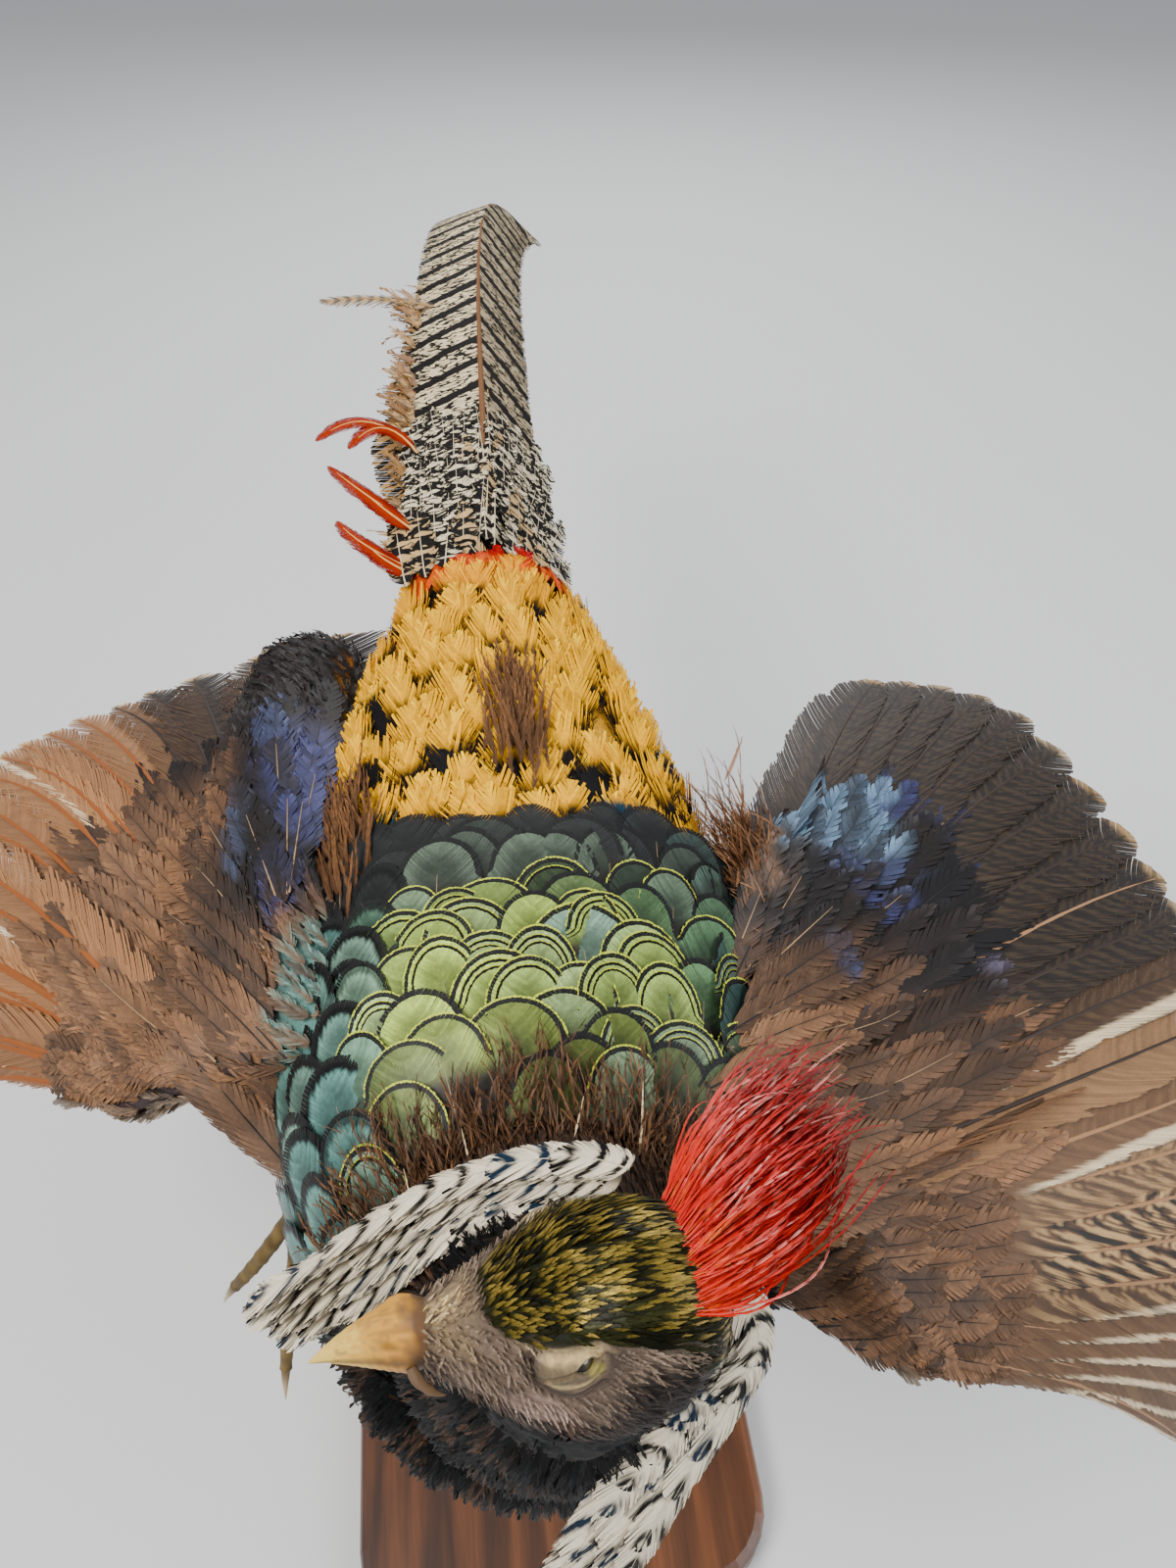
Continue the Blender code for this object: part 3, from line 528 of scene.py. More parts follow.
    def shafts(self, track, length, thick, tone, end, uv, cell, seeds):
        """The shafts of a batch, low ridges that thin out to the tip."""
        count, pieces = len(track[0]), 8
        share = np.linspace(0, end, pieces + 1).reshape(1, 1, 1, -1, 1) + np.zeros((count, 1, 1, 1, 1))
        spot = np.array([-1.0, 0.0, 1.0]).reshape(1, 1, 1, 1, 3)
        thin = 1 - 0.8 * share / end
        off = thick * thin * spot
        rise = thick * thin * (1.1 - 0.9 * np.abs(spot))
        share, off, rise = np.broadcast_arrays(share, off, rise)
        side = (off > 0).astype(int)
        verts = on_rails(track, share, side, off, rise)
        ids = np.arange((pieces + 1) * 3).reshape(pieces + 1, 3)
        quads = np.stack([ids[:-1, :-1], ids[:-1, 1:], ids[1:, 1:], ids[1:, :-1]], axis=-1)
        quads = quads[None] + (np.arange(count) * ids.size).reshape(-1, 1, 1, 1)
        tone = np.asarray(tone)
        if tone.ndim == 2:
            tone = each(tone)
        local = np.stack([share * each(length), off, seeds * 7 + 0 * share], axis=-1)
        patch = np.stack([0.5 + 0 * share, 0.02 + 0.96 * share], axis=-1)
        self.take(verts, quads, tone + 0 * verts, 0.12, local, uv + cell * patch)

    def build(self, material, *replaced, slot=None):
        """The piece as one object, with its vertices' values and its unwrapped map."""
        verts, faces = np.concatenate(self.verts), np.concatenate(self.faces)
        if 2 * len(faces) > TRIANGLE_LIMIT:
            raise RuntimeError(f"{self.name} has {2 * len(faces)} triangles")
        mesh = quad_mesh(self.name, verts, faces)
        stamp(mesh, "tone", "FLOAT_COLOR", np.concatenate(self.tones))
        stamp(mesh, "gloss", "FLOAT", np.concatenate(self.gloss))
        stamp(mesh, "rim", "FLOAT", np.concatenate(self.rims))
        stamp(mesh, "place", "FLOAT_VECTOR", np.concatenate(self.places))
        layer = mesh.uv_layers.new(name="OFBake")
        layer.data.foreach_set("uv", np.concatenate(self.uvs)[faces.reshape(-1)].reshape(-1))
        return piece(self.name, mesh, material, *replaced, slot=slot)


def quad_mesh(name, verts, faces):
    """A smooth mesh of four-cornered faces."""
    mesh = bpy.data.meshes.new(name)
    mesh.vertices.add(len(verts))
    mesh.vertices.foreach_set("co", verts.astype(np.float32).reshape(-1))
    mesh.loops.add(faces.size)
    mesh.loops.foreach_set("vertex_index", faces.astype(np.int32).reshape(-1))
    mesh.polygons.add(len(faces))
    mesh.polygons.foreach_set("loop_start", np.arange(0, faces.size, faces.shape[1], dtype=np.int32))
    mesh.update(calc_edges=True)
    mesh.shade_smooth()
    return mesh


def stamp(mesh, name, kind, values):
    """A value for each vertex, which the materials read by name."""
    layer = mesh.attributes.new(name, kind, "POINT")
    if kind == "FLOAT_COLOR":
        values = np.concatenate([values, np.ones((len(values), 1))], axis=1)
        layer.data.foreach_set("color", values.astype(np.float32).reshape(-1))
    else:
        key = "vector" if kind == "FLOAT_VECTOR" else "value"
        layer.data.foreach_set(key, values.astype(np.float32).reshape(-1))


def piece(name, mesh, material, *replaced, slot=None):
    """An object of the bird that rides on its one body and stands for the CAD nodes named."""
    obj = bpy.data.objects.new(name, mesh)
    bpy.context.scene.collection.objects.link(obj)
    mesh.materials.append(material)
    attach(obj, "root")
    if replaced:
        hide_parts(*replaced)
    return obj


# ---------------------------------------------------------------- materials
def fed(tree, socket, value):
    """Links a socket to another node's output, or sets it to a plain value."""
    if hasattr(value, "is_linked"):
        tree.links.new(value, socket)
    else:
        socket.default_value = value


def filled(tree, node, **sockets):
    """The node, with its sockets fed by name; an underscore stands for a space."""
    for name, value in sockets.items():
        fed(tree, node.inputs[name.replace("_", " ")], value)
    return node


def added(tree, kind, **sockets):
    """A new shader node of that kind with its sockets fed."""
    return filled(tree, tree.nodes.new(f"ShaderNode{kind}"), **sockets)


def shader(name, **sockets):
    """A new material, its node tree and its main node with the sockets fed."""
    material = bpy.data.materials.new(name)
    material.use_nodes = True
    tree = material.node_tree
    return material, tree, filled(tree, tree.nodes["Principled BSDF"], **sockets)


def attribute(tree, name, output="Color"):
    """An attribute of the mesh, as a colour, a vector or a number."""
    node = added(tree, "Attribute")
    node.attribute_name = name
    return node.outputs[output]


def noise(tree, vector, scale, detail=3.0, rough=0.55):
    """Smooth noise at a vector, or at the surface's own generated place when it is None."""
    node = added(tree, "TexNoise", Scale=scale, Detail=detail, Roughness=rough)
    if vector is not None:
        tree.links.new(vector, node.inputs["Vector"])
    return node.outputs["Fac"]


def spread(tree, value, low, high, out_low=0.0, out_high=1.0):
    """A value's range from low to high, stretched to the range from out_low to out_high."""
    ends = {"From_Min": low, "From_Max": high, "To_Min": out_low, "To_Max": out_high}
    return added(tree, "MapRange", Value=value, **ends).outputs["Result"]


def sums(tree, kind, a, b):
    """Arithmetic of that kind on a and b, which are numbers or outputs."""
    node = added(tree, "Math")
    node.operation = kind
    for socket, value in zip(node.inputs, (a, b)):
        fed(tree, socket, value)
    return node.outputs[0]


def tint(tree, kind, share, a, b):
    """A colour mix of that kind between a and b, which are colours or sockets."""
    node = added(tree, "Mix")
    node.data_type = "RGBA"
    node.blend_type = kind
    sockets = [s for s in node.inputs if s.enabled]
    for socket, value in zip(sockets, (share, a, b)):
        fed(tree, socket, value if isinstance(value, float) or hasattr(value, "is_linked") else (*value, 1.0))
    return [s for s in node.outputs if s.enabled][0]


def scaled(tree, vector, factors):
    """A vector times a factor for each axis."""
    node = added(tree, "VectorMath")
    node.operation = "MULTIPLY"
    tree.links.new(vector, node.inputs[0])
    node.inputs[1].default_value = factors
    return node.outputs["Vector"]


def bump(tree, bsdf, height, strength, distance):
    """Fine relief on a material's surface."""
    node = added(tree, "Bump", Strength=strength, Distance=distance, Height=height)
    tree.links.new(node.outputs["Normal"], bsdf.inputs["Normal"])


def shaded(tree, bsdf, shade):
    """The mesh's own colour, darkened and lightened by shade."""
    tree.links.new(tint(tree, "MULTIPLY", 1.0, attribute(tree, "tone"), shade), bsdf.inputs["Base Color"])


def coat_material(name, *, rough=0.62, gloss=0.7, mottle=0.22, size=900.0, shine=0.35, rimmed=False):
    """Feather: the marking's colour with fine mottling, metallic where the plumage is glossy."""
    material, tree, bsdf = shader(name, Specular_IOR_Level=shine)
    grain = noise(tree, attribute(tree, "place", "Vector"), size)
    shade = spread(tree, grain, 0.25, 0.75, 1 - mottle, 1 + mottle)
    colour = tint(tree, "MULTIPLY", 1.0, attribute(tree, "tone"), shade)
    if rimmed:
        colour = rim_lines(tree, colour)
    tree.links.new(colour, bsdf.inputs["Base Color"])
    sheen = attribute(tree, "gloss", "Fac")
    tree.links.new(spread(tree, sheen, 0, 1, 0, gloss), bsdf.inputs["Metallic"])
    tree.links.new(spread(tree, sheen, 0, 1, rough, 0.30), bsdf.inputs["Roughness"])
    return material


def rim_lines(tree, colour):
    """Black borders and hairlines, from the share of the way to a feather's edge plus twice its kind."""
    value = attribute(tree, "rim", "Fac")
    kind = sums(tree, "FLOOR", sums(tree, "MULTIPLY", value, 0.5), 0.0)
    edge = sums(tree, "SUBTRACT", value, sums(tree, "MULTIPLY", kind, 2.0))
    wobble = noise(tree, attribute(tree, "place", "Vector"), 1500.0, 2.0)
    edge = sums(tree, "ADD", edge, spread(tree, wobble, 0.25, 0.75, -0.012, 0.012))
    for least, low, high, hair in ((3, 0.600, 0.645, 0.662), (2, 0.715, 0.775, 0.797),
                                   (0, 0.862, 0.958, 2.0)):
        black = sums(tree, "MULTIPLY", sums(tree, "GREATER_THAN", edge, low),
                     sums(tree, "LESS_THAN", edge, hair))
        black = sums(tree, "MULTIPLY", black, sums(tree, "GREATER_THAN", kind, least - 0.5))
        line = sums(tree, "MULTIPLY", black, sums(tree, "GREATER_THAN", edge, high))
        line = sums(tree, "MULTIPLY", line, sums(tree, "GREATER_THAN", kind, 0.5))
        colour = tint(tree, "MIX", black, colour, tuple(BLACK))
        colour = tint(tree, "MIX", line, colour, tuple(YELLOW_LIME))
    return colour


def barred_material(name, dark, bar, gap, oblique, worms, wander):
    """Cross-barred feather: dark bars over the marking's colour, with broken vermiculation between them."""
    material, tree, bsdf = shader(name, Specular_IOR_Level=0.1, Roughness=0.7)
    place = attribute(tree, "place", "Vector")
    split = added(tree, "SeparateXYZ", Vector=place)
    along, across = split.outputs["X"], split.outputs["Y"]
    out = sums(tree, "ABSOLUTE", across, 0.0)
    lean = sums(tree, "MULTIPLY", out, oblique)
    line = sums(tree, "SUBTRACT", along, lean)
    wobble = noise(tree, scaled(tree, place, (1, 1, 40)), 90.0, 2.0)
    line = sums(tree, "ADD", line, spread(tree, wobble, 0, 1, -wander, wander))
    phase = sums(tree, "FRACT", sums(tree, "DIVIDE", line, gap), 0.0)
    mask = sums(tree, "LESS_THAN", sums(tree, "ABSOLUTE", sums(tree, "SUBTRACT", phase, 0.5), 0.0),
                bar / gap / 2)
    fine = noise(tree, scaled(tree, place, (1.0, 0.42, 11)), worms, 1.5, 0.5)
    lines = sums(tree, "ABSOLUTE", sums(tree, "SUBTRACT", fine, 0.5), 0.0)
    worm = spread(tree, lines, 0.044, 0.066, 1.0, 0.0)
    marks = sums(tree, "MAXIMUM", mask, worm)
    grain = noise(tree, place, 1100.0)
    base = tint(tree, "MULTIPLY", 1.0, attribute(tree, "tone"), spread(tree, grain, 0.25, 0.75, 0.8, 1.15))
    shafted = attribute(tree, "gloss", "Fac")
    marks = sums(tree, "MULTIPLY", marks, spread(tree, shafted, 0.05, 0.10, 1.0, 0.0))
    tree.links.new(tint(tree, "MIX", marks, base, dark), bsdf.inputs["Base Color"])
    return material


# ---------------------------------------------------------------- markings
def mantle_ground(places):
    """The mantle's ground: lime in the middle, blue teal on the right, near black behind and on the left."""
    x, y, _ = laid_out(places)
    drift = 0.010 * (blotch(places, 0.03, 4) - 0.5)
    lime = step(np.hypot((x + 0.006 + drift) / 0.046, (y + 0.010) / 0.036), 1.25, 0.65)
    colour = mix(SEA, LIME, lime)
    colour = mix(colour, TEAL, step(-x + drift, 0.034, 0.044))
    colour = mix(colour, hue(44, 47, 46), step(y + drift, 0.012, 0.034))
    colour = mix(colour, mix(hue(40, 46, 44), TEAL, 0.25), step(x + drift, 0.050, 0.062))
    return mix(colour, OLIVE, 0.85 * step(y, -0.004, -0.026) * step(-x, 0.045, 0.030))


def markings(places):
    """The bird's colour over its body, for skin and coat alike, with how glossy it is."""
    x, y, z = laid_out(places)
    roll = roll_at(x, z)
    tops = step(np.abs(roll), 100, 84)
    patch = blotch(places, 0.030, 5)
    colour = mix(CHARCOAL, UMBER, patch)
    colour = mix(colour, mantle_ground(places), tops * step(y, -0.084, -0.074))
    rump = mix(GOLD, ORANGE, step(y, 0.12, 0.172) * 0.45)
    colour = mix(colour, rump,
                 step(np.abs(roll), 104, 90) * step(y, 0.050, 0.056) * step(np.abs(x), 0.058, 0.050))
    belly = mix(WHITE, mix(DUST, WHITE, 0.45), patch * 0.6)
    under = step(np.abs(roll), 112, 132)
    colour = mix(colour, belly, under * step(y, -0.052, -0.036))
    breast = np.maximum(step(y, -0.070, -0.082), under * step(y, -0.036, -0.052))
    colour = mix(colour, mix(GLOSS_BLACK, UMBER, step(patch, 0.55, 0.9) * 0.6), breast)
    down = step(y + 6.0 * x**2, -0.030, -0.042) * step(np.abs(x), 0.056, 0.042) * step(z, -0.036, -0.020)
    colour = mix(colour, mix(BROWN, UMBER, patch * 0.6), down)
    limb = step(np.abs(x), 0.058, 0.074)
    arm = mix(UMBER, mix(BROWN, VIOLET, 0.20), patch)
    return mix(colour, arm, limb * step(z, -0.09, -0.075)), tops * step(y, -0.09, -0.07) * 0.6


def crown_edge(local):
    """How high on the head the crown's glossy feathers begin; the right side is worn a little higher."""
    along = (-0.016, -0.009, 0.0, 0.0055, 0.0105, 0.0145, 0.019)
    high = (0.0060, 0.0082, 0.0100, 0.0096, 0.0084, 0.0078, 0.0090)
    return np.interp(local[..., 0], along, high) + 0.0034 * step(-local[..., 1], 0.0, 0.008)


def face_markings(local, places):
    """The head's colour, from places in its own axes."""
    x, y, z = local[..., 0], local[..., 1], local[..., 2]
    patch = blotch(places, 0.007, 8)
    fine = blotch(places, 0.0024, 9)
    colour = mix(mix(DUST, UMBER, 0.55), DUST, patch)
    low = z + 0.002 * (fine - 0.5)
    colour = mix(colour, mix(BROWN, UMBER, patch), step(low, -0.0020, -0.0075))
    colour = mix(colour, mix(UMBER, BLACK, 0.4), step(x, 0.001, -0.006) * step(z, 0.006, 0.001))
    colour = mix(colour, GLOSS_BLACK, step(low, -0.0105, -0.0145) * 0.95)
    cheek = np.hypot((x - 0.0092) / 0.0050, (z + 0.0030) / 0.0031)
    colour = mix(colour, mix(ROSE_GREY, DUST, fine * 0.5), step(cheek, 1.15, 0.80))
    brow = np.hypot((x - 0.0050) / 0.0066, (crown_edge(local) - 0.0010 - z) / 0.0009)
    colour = mix(colour, mix(CREAM, DUST, fine * 0.3),
                 step(brow, 1.3, 0.8) * step(np.abs(y), 0.007, 0.010) * 0.9)
    lore = step(x, 0.0165, 0.0200) * step(z, 0.0010, 0.0040)
    colour = mix(colour, mix(hue(170, 148, 112), DUST, 0.3 + patch * 0.6), lore * (0.45 + 0.5 * fine))
    bridge = step(x, 0.0190, 0.0215) * step(z, 0.0048, 0.0062) * step(np.abs(y - 0.0012), 0.0030, 0.0012)
    colour = mix(colour, mix(hue(224, 190, 110), CREAM, fine), bridge * step(fine, 0.35, 0.6))
    u, v = eye_axes(local)
    almond = np.hypot(u / 0.0052, v / 0.0033)
    # an umber ring round each eye: painted shade in the socket
    colour = mix(colour, UMBER, step(almond, 1.75, 1.30) * step(almond, 1.0, 1.2) * 0.55)
    colour = mix(colour, mix(hue(126, 114, 84), DUST, 0.20 + 0.3 * fine), step(almond, 1.15, 0.85) * 0.9)
    corner = np.hypot((u + 0.0036) / 0.0013, (v + 0.0006) / 0.0011)
    colour = mix(colour, hue(176, 168, 96), step(corner, 1.3, 0.6) * 0.8)
    upper = np.exp(-((v - 0.0024 + 30 * u**2) / 0.00085) ** 2) * step(np.abs(u + 0.0004), 0.0050, 0.0038)
    lower = np.exp(-((v + 0.0021 - 34 * u**2) / 0.00040) ** 2) * step(np.abs(u), 0.0046, 0.0036) * 0.7
    colour = mix(colour, mix(hue(232, 206, 152), DUST, 0.10 + 0.3 * fine), np.maximum(upper, lower))
    return mix(colour, mix(OLIVE, BLACK, 0.6),
               step(z - crown_edge(local), -0.0004, 0.0006) * step(x, 0.0180, 0.0165))


EYES = tuple(  # side, middle and gaze of the left and the right eye, in the head's own axes
    (side, np.array((EYE_AT.x, EYE_AT.y * side, EYE_AT.z)), unit(np.array((0.03, 0.94 * side, 0.34))))
    for side in (1, -1)
)


def eye_distance(local):
    """How far places are from the nearer eye's middle, in eye radii, seen along its gaze."""
    off = []
    for _, middle, look in EYES:
        away = local - middle
        ahead = np.sum(away * look, axis=-1)
        flat = np.linalg.norm(away - ahead[..., None] * look, axis=-1)
        off.append(np.where(ahead > -0.001, flat, 1.0))
    return np.minimum(*off) / EYE_RADIUS


def eye_frame(side, look):
    """The directions to the front and upwards round one eye, seen along its gaze."""
    ahead = unit(np.array((1.0, 0.0, -0.10)) - look * (look[0] - 0.10 * look[2]))
    return ahead, np.cross(look, ahead) * -side


def eye_axes(local):
    """How far places are ahead of and above the middle of the eye on their side."""
    flat = []
    for side, middle, look in EYES:
        away = local - middle
        seen = (away @ look > -0.001)[..., None]
        flat.append(np.where(seen, np.stack([away @ axis for axis in eye_frame(side, look)], axis=-1), 1.0))
    u, v = np.moveaxis(np.where(local[..., 1:2] > 0, *flat), -1, 0)
    return u, v


# ---------------------------------------------------------------- the skin
FLESH = ["trunk", "neck", "head"]
for label in ("left", "right"):
    FLESH += [f"wing_{label}_arm", f"wing_{label}_hand", f"leg_{label}"]


def remeshed(names, voxel):
    """CAD nodes melted into one smooth closed surface."""
    verts, tris = solid(*names)
    mesh = bpy.data.meshes.new("flesh")
    mesh.from_pydata(verts.tolist(), [], tris.tolist())
    obj = bpy.data.objects.new("flesh", mesh)
    bpy.context.scene.collection.objects.link(obj)
    melt = obj.modifiers.new("melt", "REMESH")
    melt.mode, melt.voxel_size = "VOXEL", voxel
    ease = obj.modifiers.new("ease", "SMOOTH")
    ease.factor, ease.iterations = 0.5, 6
    bpy.context.view_layer.update()
    whole = bpy.data.meshes.new_from_object(obj.evaluated_get(bpy.context.evaluated_depsgraph_get()))
    bpy.data.objects.remove(obj)
    return whole


def hooded(local):
    """The head's surface moved to form the eye sockets and the nearly shut lids round each eye."""
    out = local.copy()
    for side, eye, look in EYES:
        ahead, over = eye_frame(side, look)
        away = local - eye
        far = np.linalg.norm(away, axis=1)
        near = (away @ look > -0.0012) & (far < EYE_RADIUS * 2.0)
        u, v = away @ ahead, away @ over
        flat = np.hypot(u, v)
        lid = EYE_RADIUS + 0.0006 + 0.0003 * np.exp(-((flat / EYE_RADIUS - 0.98) / 0.12) ** 2)
        blend = step(far / EYE_RADIUS, 1.60, 1.12)[:, None]
        direction = unit(away)
        pulled = eye + away * (1 - blend) + direction * lid[:, None] * blend
        # the lids part in a short slit towards the rear corner; a closed seam runs on to the front one
        line = 0.0002 - 0.22 * u - 18.0 * u**2
        half = np.clip(0.00068 - 240.0 * (u + 0.0019) ** 2, 0.0, None)
        gap = np.abs(v - line) - half
        rim = np.exp(-((gap - 0.00040) / 0.00028) ** 2) * 0.00042 * (np.abs(u) < 0.0044)
        inward = np.where(half > 0, step(gap, 0.00010, -0.00010), 0.0) * 0.0022
        fold = np.exp(-((v - line) / 0.00020) ** 2) * (half == 0) * (np.abs(u) < 0.0044) * 1.2
        for height, bend, deep in ((0.0030, -24, 1.0), (-0.0025, 26, 0.8), (-0.0040, 26, 0.9)):
            fold = fold + deep * np.exp(-((v - height - bend * u**2) / 0.00032) ** 2) * (np.abs(u) < 0.0052)
        pulled = pulled + direction * (rim - inward - fold * 0.00036)[:, None]
        out[near] = pulled[near]
    return out


def refine(work, chosen, cuts):
    """Cuts the edges between the vertices whose place in the head's axes is chosen."""
    keep = chosen(in_head(np.array([v.co for v in work.verts])))
    marked = {v for v, kept in zip(work.verts, keep) if kept}
    edges = [e for e in work.edges if e.verts[0] in marked and e.verts[1] in marked]
    bmesh.ops.subdivide_edges(work, edges=edges, cuts=cuts, use_grid_fill=True, smooth=0.6)
    work.verts.ensure_lookup_table()


def make_skin():
    """One skin for the nodes of flesh, sunk by the coat's depth, with folds and lids on the head."""
    mesh = remeshed(FLESH + ["eye_left", "eye_right"], SKIN_VOXEL)
    work = bmesh.new()
    work.from_mesh(mesh)
    work.verts.ensure_lookup_table()
    refine(work, lambda local: np.all(np.abs(local) < FACE_REACH, axis=1), 3)
    refine(work, lambda local: eye_distance(local) < 1.3, 1)
    work.normal_update()
    places = np.array([v.co for v in work.verts])
    normals = np.array([v.normal for v in work.verts])
    x, _, z = laid_out(places)
    local = in_head(places)
    skull = step(np.linalg.norm(local, axis=1), 0.034, 0.024)
    wing = step(np.abs(x), 0.060, 0.074)
    leg = step(z, -0.088, -0.100)
    depth = COAT_DEPTH + (WING_DEPTH - COAT_DEPTH) * wing
    depth = depth + (LEG_DEPTH - depth) * leg
    depth = depth + (HEAD_DEPTH - depth) * skull
    folds = (blotch(places, 0.0030, 21) - 0.5) * 0.0005 + (blotch(places, 0.0014, 22) - 0.5) * 0.00022
    places = places - normals * (depth - folds * skull)[:, None]
    local = in_head(places)
    shaped = hooded(local)
    places = np.where((skull > 0)[:, None], from_head(shaped), places)
    for vert, place in zip(work.verts, places):
        vert.co = place
    work.to_mesh(mesh)
    work.free()
    mesh.name = "skin"
    mesh.shade_smooth()
    colour, _ = markings(places)
    local = in_head(places)
    colour = mix(colour, face_markings(local, places), step(np.linalg.norm(local, axis=1), 0.029, 0.024))
    colour = mix(colour, mix(BROWN, TAN, blotch(places, 0.01, 3)), step(z, -0.084, -0.092))
    stamp(mesh, "tone", "FLOAT_COLOR", colour)
    material, tree, bsdf = shader("bird_skin", Roughness=0.62, Specular_IOR_Level=0.3)
    grain = noise(tree, None, 1400.0, 5.0, 0.65)
    coarse = noise(tree, None, 330.0, 4.0, 0.6)
    shaded(tree, bsdf, spread(tree, coarse, 0.3, 0.7, 0.72, 1.2))
    bump(tree, bsdf, sums(tree, "ADD", grain, sums(tree, "MULTIPLY", coarse, 1.5)), 0.7, 0.0006)
    mesh.materials.clear()
    return piece("skin", mesh, material, *FLESH, slot="face_grey")


# ---------------------------------------------------------------- body feathers
TRUNK_TREE = tree_of("trunk")
BODY_TREE = tree_of(*FLESH)


def on_trunk(y, roll):
    """Places on the trunk at a distance behind the mantle and an angle from the top, + to the left."""
    out, normals = [], []
    for one_y, one_roll in zip(y, np.radians(roll)):
        middle = Vector((0.0, one_y, -AXIS_DROP * min(1.0, max(0.35, (0.30 - one_y) / 0.22)))) + MANTLE
        aim = Vector((math.sin(one_roll), 0.0, math.cos(one_roll)))
        spot, normal, _, _ = TRUNK_TREE.ray_cast(middle + aim * 0.2, -aim)
        out.append(spot if spot else middle + aim * 0.03)
        normals.append(normal if normal else aim)
    return np.array(out), np.array(normals)


def trunk_rows(start, end, gap, width, widest, seed, ragged=0.12):
    """Staggered rows of feather roots over the back: places, normals and spots on the unwrapped back."""
    draw = np.random.default_rng(seed)
    ys, rolls = [], []
    for number, y in enumerate(np.arange(start, end, gap)):
        radius = between(((-0.10, 0.034), (-0.06, 0.058), (0.0, 0.068), (0.06, 0.065), (0.12, 0.048),
                          (0.17, 0.032)), y)[0]
        pitch = math.degrees(width / radius)
        count = int(widest / pitch) + 1
        for k in range(-count, count + 1):
            roll = (k + 0.5 * (number % 2)) * pitch
            if abs(roll) <= widest:
                ys.append(y + draw.normal() * ragged * gap)
                rolls.append(roll + draw.normal() * ragged * pitch)
    ys, rolls = np.array(ys), np.array(rolls)
    places, normals = on_trunk(ys, rolls)
    uv = np.stack([0.5 + rolls / 360, 0.05 + 0.9 * (ys + 0.11) / 0.30], axis=1)
    return places, normals, uv


def body_uv(places):
    """A place's spot on the body unwrapped round its length."""
    x, y, z = laid_out(places)
    return np.stack([0.5 + np.arctan2(x, z + AXIS_DROP) / (2 * math.pi), 0.02 + 0.95 * (y + 0.14) / 0.34],
                    axis=1)


def backward(places, normals, outward=0.0, turn=0.0, seed=0):
    """Directions along the body towards the tail, with a little scatter."""
    draw = np.random.default_rng(seed)
    aims = np.zeros_like(places)
    aims[:, 1] = 1.0
    aims[:, 0] = outward * np.sign(places[:, 0] - BACK[0])
    aims += draw.normal(size=aims.shape) * turn
    return unit(aims - normals * np.sum(aims * normals, axis=1, keepdims=True))


def mantle():
    """Large round feathers with black borders and a bright hairline inside them, often more than one."""
    coat = Coat("mantle_feathers")
    places, normals, uv = trunk_rows(-0.076, 0.036, 0.0112, 0.0142, 84, 31, ragged=0.18)
    off_middle = np.clip(np.abs(places[:, 0] - BACK[0] - 0.004) - 0.028, 0, None)
    front = places[:, 1] - BACK[1] > -0.055 - off_middle**0.85
    places, normals, uv = places[front], normals[front], uv[front]
    draw = np.random.default_rng(32)
    x, y = places[:, 0] - BACK[0], places[:, 1] - BACK[1]
    aims = backward(places, normals, turn=0.12, seed=33)
    lengths = 0.030 * draw.uniform(0.88, 1.10, len(places))
    half = 0.0122 * draw.uniform(0.80, 1.14, len(places))
    large = np.argmin(np.hypot(x - 0.020, y + 0.014))
    lengths[large], half[large] = 0.036, 0.0152
    track = draped_rails(TRUNK_TREE, places, aims, lengths, (-0.0022, 0.0032), points=6)
    ground = mantle_ground(track[0][:, -2])
    own = blotch(places, 0.020, 34)
    ground = mix(ground, GREY_GREEN, step(own, 0.45, 0.8) * 0.45 * step(y, 0.03, 0.0))
    ground[large] = mix(GREY_GREEN, TEAL, 0.35)
    rear = each(step(y, 0.002, 0.020))
    banded = each(step(-x, 0.036, 0.044))
    # the border's kind: black alone, with a bright hairline, or with one or two more rings inside it
    lot = draw.random(len(places))
    kind = 1.0 + (lot < 0.50) + (lot < 0.22)
    kind = each(kind * (y < 0.006) * (-x < 0.040) * (own > 0.30))

    def tone(at):
        base = each(ground)
        # inner is painted shade: the hidden base of each disc, where the feathers ahead overlap it, is
        # darkened to near black
        inner = mix(UMBER, BLACK, 0.5)
        # 0 at the middle of the rounded tip and 1 at its edge
        edge = np.sqrt((at["across"] / each(half)) ** 2
                       + np.clip((at["along"] - 0.50) / 0.50, 0, 1) ** 2.4)
        # light is partly painted shade and highlight: each disc is darker at its middle and lighter towards
        # its rim, as well as the feather's own paler rim and a random brightness for each feather
        light = (0.42 + 0.80 * step(edge, 0.10 + 0.3 * at["seed"], 0.80)) * (0.72 + 0.5 * at["seed"])
        colour = mix(inner, base * light[..., None], step(at["along"], 0.34, 0.60))
        distal = step(at["along"], 0.40, 0.58)
        rim = np.clip(edge + 0.008 * (at["barb"] - 0.5), 0, 1.6) * (0.55 + 0.45 * distal)
        colour = mix(colour, BLACK, banded * step(edge, 0.70, 0.73) * distal)
        gloss = (0.60 - 0.4 * step(edge, 0.86, 0.88)) * step(at["along"], 0.3, 0.5) * (1 - 0.6 * rear)
        return colour, gloss, rim + 2 * kind

    coat.plumes(track, half, "disc", tone, uv, bands=42, steps=9, crowd=1.6, sweep=1.0, curve=0.35, gap=0.30,
                fray=0.03, cup=14.0, puff=0.00010, cell=(0.040, 0.050), shaft=0.00026,
                shaft_tone=mix(CREAM, BROWN, 0.6), shaft_end=0.6, varied=0.40, seed=35)
    return coat.build(coat_material("feather_mantle", gloss=0.70, rimmed=True), slot="mantle_green")


